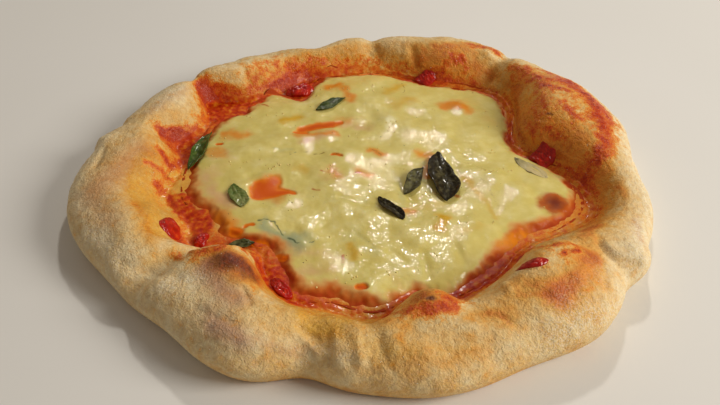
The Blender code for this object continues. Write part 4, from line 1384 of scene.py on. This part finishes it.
def scatter_tree():
    """Grains strewn over the faces that look up, more where an attribute of the carrier says so."""
    tree = bpy.data.node_groups.new("strewn_grains", "GeometryNodeTree")
    tree.interface.new_socket("Geometry", in_out="OUTPUT", socket_type="NodeSocketGeometry")
    for name, kind in (("Geometry", "Geometry"), ("Where", "String"), ("Per square metre", "Float"),
                       ("Steepest", "Float"), ("Smallest", "Vector"), ("Largest", "Vector"),
                       ("Seed", "Int"), ("Stuff", "Material")):
        tree.interface.new_socket(name, in_out="INPUT", socket_type="NodeSocket" + kind)
    given = tree.nodes.new("NodeGroupInput").outputs
    upward = node(tree, "ShaderNodeSeparateXYZ", {0: node(tree, "GeometryNodeInputNormal")}).outputs["Z"]
    chosen = node(tree, "FunctionNodeCompare", {0: upward, 1: given["Steepest"]}, operation="GREATER_THAN")
    share = node(tree, "GeometryNodeInputNamedAttribute", {"Name": given["Where"]}, data_type="FLOAT")
    density = node(tree, "ShaderNodeMath", {0: share, 1: given["Per square metre"]}, operation="MULTIPLY")
    strewn = node(tree, "GeometryNodeDistributePointsOnFaces", {
        "Mesh": given["Geometry"], "Selection": chosen, "Density": density, "Seed": given["Seed"]})
    size = node(tree, "FunctionNodeRandomValue", {
        0: given["Smallest"], 1: given["Largest"], "Seed": given["Seed"]}, data_type="FLOAT_VECTOR")
    grain = node(tree, "GeometryNodeMeshIcoSphere", {"Radius": 1.0, "Subdivisions": GRAIN_ROUNDS})
    placed = node(tree, "GeometryNodeInstanceOnPoints", {
        "Points": strewn, "Instance": grain, "Rotation": strewn.outputs["Rotation"], "Scale": size})
    made = node(tree, "GeometryNodeRealizeInstances", {0: placed})
    made = node(tree, "GeometryNodeSetMaterial", {"Geometry": made, "Material": given["Stuff"]})
    node(tree, "NodeGroupOutput", {"Geometry": made})
    return tree


strewn_grains = scatter_tree()


def strew(name, carrier, slot, **sizes):
    """Strews one kind of grain over a piece and keeps it as a plain mesh of its own."""
    bed = placed(name + "_bed", carrier.data)
    strewing = bed.modifiers.new("strewing", "NODES")
    strewing.node_group = strewn_grains
    for item in strewn_grains.interface.items_tree:
        key = item.name.replace(" ", "_").lower()
        if item.in_out == "INPUT" and key in sizes:
            strewing[item.identifier] = sizes[key]
    mesh = bpy.data.meshes.new_from_object(bed.evaluated_get(bpy.context.evaluated_depsgraph_get()))
    bed.modifiers.remove(strewing)
    bpy.data.objects.remove(bed)
    mesh.name = name
    mesh.shade_smooth()
    piece = placed(name, mesh)
    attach(piece, "root")


def two_toned(name, span, dark, light, inputs):
    """A plain stuff whose colour drifts between two tones over this distance."""
    made, tree = new_material(name)
    place = node(tree, "ShaderNodeTexCoord").outputs["Object"]
    drift = node(tree, "ShaderNodeTexNoise", {"Vector": place, "Scale": 1 / span})
    colour = node(tree, "ShaderNodeMix", {0: drift, 6: linear(dark), 7: linear(light)}, data_type="RGBA")
    shade(tree, {"Base Color": colour, **inputs})
    return made


# Dried herb: brittle brown green leaf crumbs, dull even where oil has wetted them.
dried_herb = two_toned("dried_herb", 0.004, "3C3A1C", "6E6430", {"Roughness": 0.6})

# Oil droplets: clear yellow cooking oil sweated out of the cheese, standing in low wet beads.
standing_oil = two_toned("standing_oil", 0.008, "D8B85A", "E6D48A", {"Roughness": 0.05, "IOR": 1.47})

# Bench flour: plain white wheat flour, dry and dull, in grains and small clumps.
bench_flour = two_toned("bench_flour", 0.010, "E8DCC0", "F2EBDA", {"Roughness": 0.9})

strew("herb_flecks", cheese, "basil", where="speckled", per_square_metre=4200.0, steepest=0.7,
      smallest=(0.00015, 0.00012, 0.00006), largest=(0.00050, 0.00030, 0.00012), seed=5, stuff=dried_herb)
strew("oil_droplets", cheese, "cheese", where="beaded", per_square_metre=60000.0, steepest=0.6,
      smallest=(0.00025, 0.00025, 0.00008), largest=(0.00085, 0.00085, 0.00026), seed=11, stuff=standing_oil)
strew("flour_grains", crust, "crust", where="floured", per_square_metre=60000.0, steepest=0.15,
      smallest=(0.00008, 0.00008, 0.00004), largest=(0.00028, 0.00028, 0.00012), seed=17, stuff=bench_flour)

# The floor: a plain pale sheet that the pizza lies on, far wider than the view.
FLOOR_SIDE = 6.0
CLOUD_SPAN = 1 / 6
floor_paper = two_toned("pale_floor", CLOUD_SPAN, "E2E1DC", "E8E7E3", {"Roughness": 0.6})
bpy.ops.mesh.primitive_plane_add(size=FLOOR_SIDE)
floor = bpy.context.active_object
floor.name = "pale_floor"
floor.data.materials.append(floor_paper)

# The light: a soft window on the right of the pizza, a small lamp behind it that puts sharp glints on
# whatever is wet, and a weak pale fill from all round.
WINDOW_HEADING = 103
WINDOW_ELEVATION = 32
WINDOW_DISTANCE = 1.6
WINDOW_SIZE = 0.7
WINDOW_POWER = 20
WINDOW_COLOUR = "FFF9F0"
FILL_COLOUR = "FFEEDC"
FILL_STRENGTH = 0.22
LAMP_HEADING = 8
LAMP_ELEVATION = 47
LAMP_SIZE = 0.10
LAMP_POWER = 6.0


def soft_light(name, heading, elevation, size, power):
    """A square light that looks at the pizza. Its heading turns from +Y towards +X."""
    data = bpy.data.lights.new(name, "AREA")
    data.size = size
    data.energy = power
    data.color = linear(WINDOW_COLOUR)[:3]
    light = placed(name, data)
    turn, rise = math.radians(heading), math.radians(elevation)
    way = Vector((math.sin(turn) * math.cos(rise), math.cos(turn) * math.cos(rise), math.sin(rise)))
    light.location = way * WINDOW_DISTANCE
    light.rotation_euler = (-way).to_track_quat("-Z", "Y").to_euler()


soft_light("window", WINDOW_HEADING, WINDOW_ELEVATION, WINDOW_SIZE, WINDOW_POWER)
soft_light("lamp", LAMP_HEADING, LAMP_ELEVATION, LAMP_SIZE, LAMP_POWER)
world = bpy.data.worlds.new("studio")
world.use_nodes = True
world.node_tree.nodes["Background"].inputs["Color"].default_value = linear(FILL_COLOUR)
world.node_tree.nodes["Background"].inputs["Strength"].default_value = FILL_STRENGTH
bpy.context.scene.world = world
bpy.context.scene.view_settings.view_transform = "Standard"

# The camera stands in front of the pizza and looks down on it, turned a little about its own line of sight.
CAMERA_PLACE = (-0.00051, -0.33126, 0.27874)
CAMERA_PITCH_DOWN = 40.795
CAMERA_ROLL = 1.256
LENS = 40.0
SENSOR_WIDTH = 36.0
NEAREST_SEEN = 0.01
camera_data = bpy.data.cameras.new("camera")
camera_data.lens = LENS
camera_data.sensor_width = SENSOR_WIDTH
camera_data.clip_start = NEAREST_SEEN
camera = placed("camera", camera_data)
tilted = Matrix.Rotation(math.radians(90 - CAMERA_PITCH_DOWN), 4, "X")
rolled = Matrix.Rotation(math.radians(CAMERA_ROLL), 4, "Z")
camera.matrix_world = Matrix.Translation(CAMERA_PLACE) @ tilted @ rolled
bpy.context.scene.camera = camera
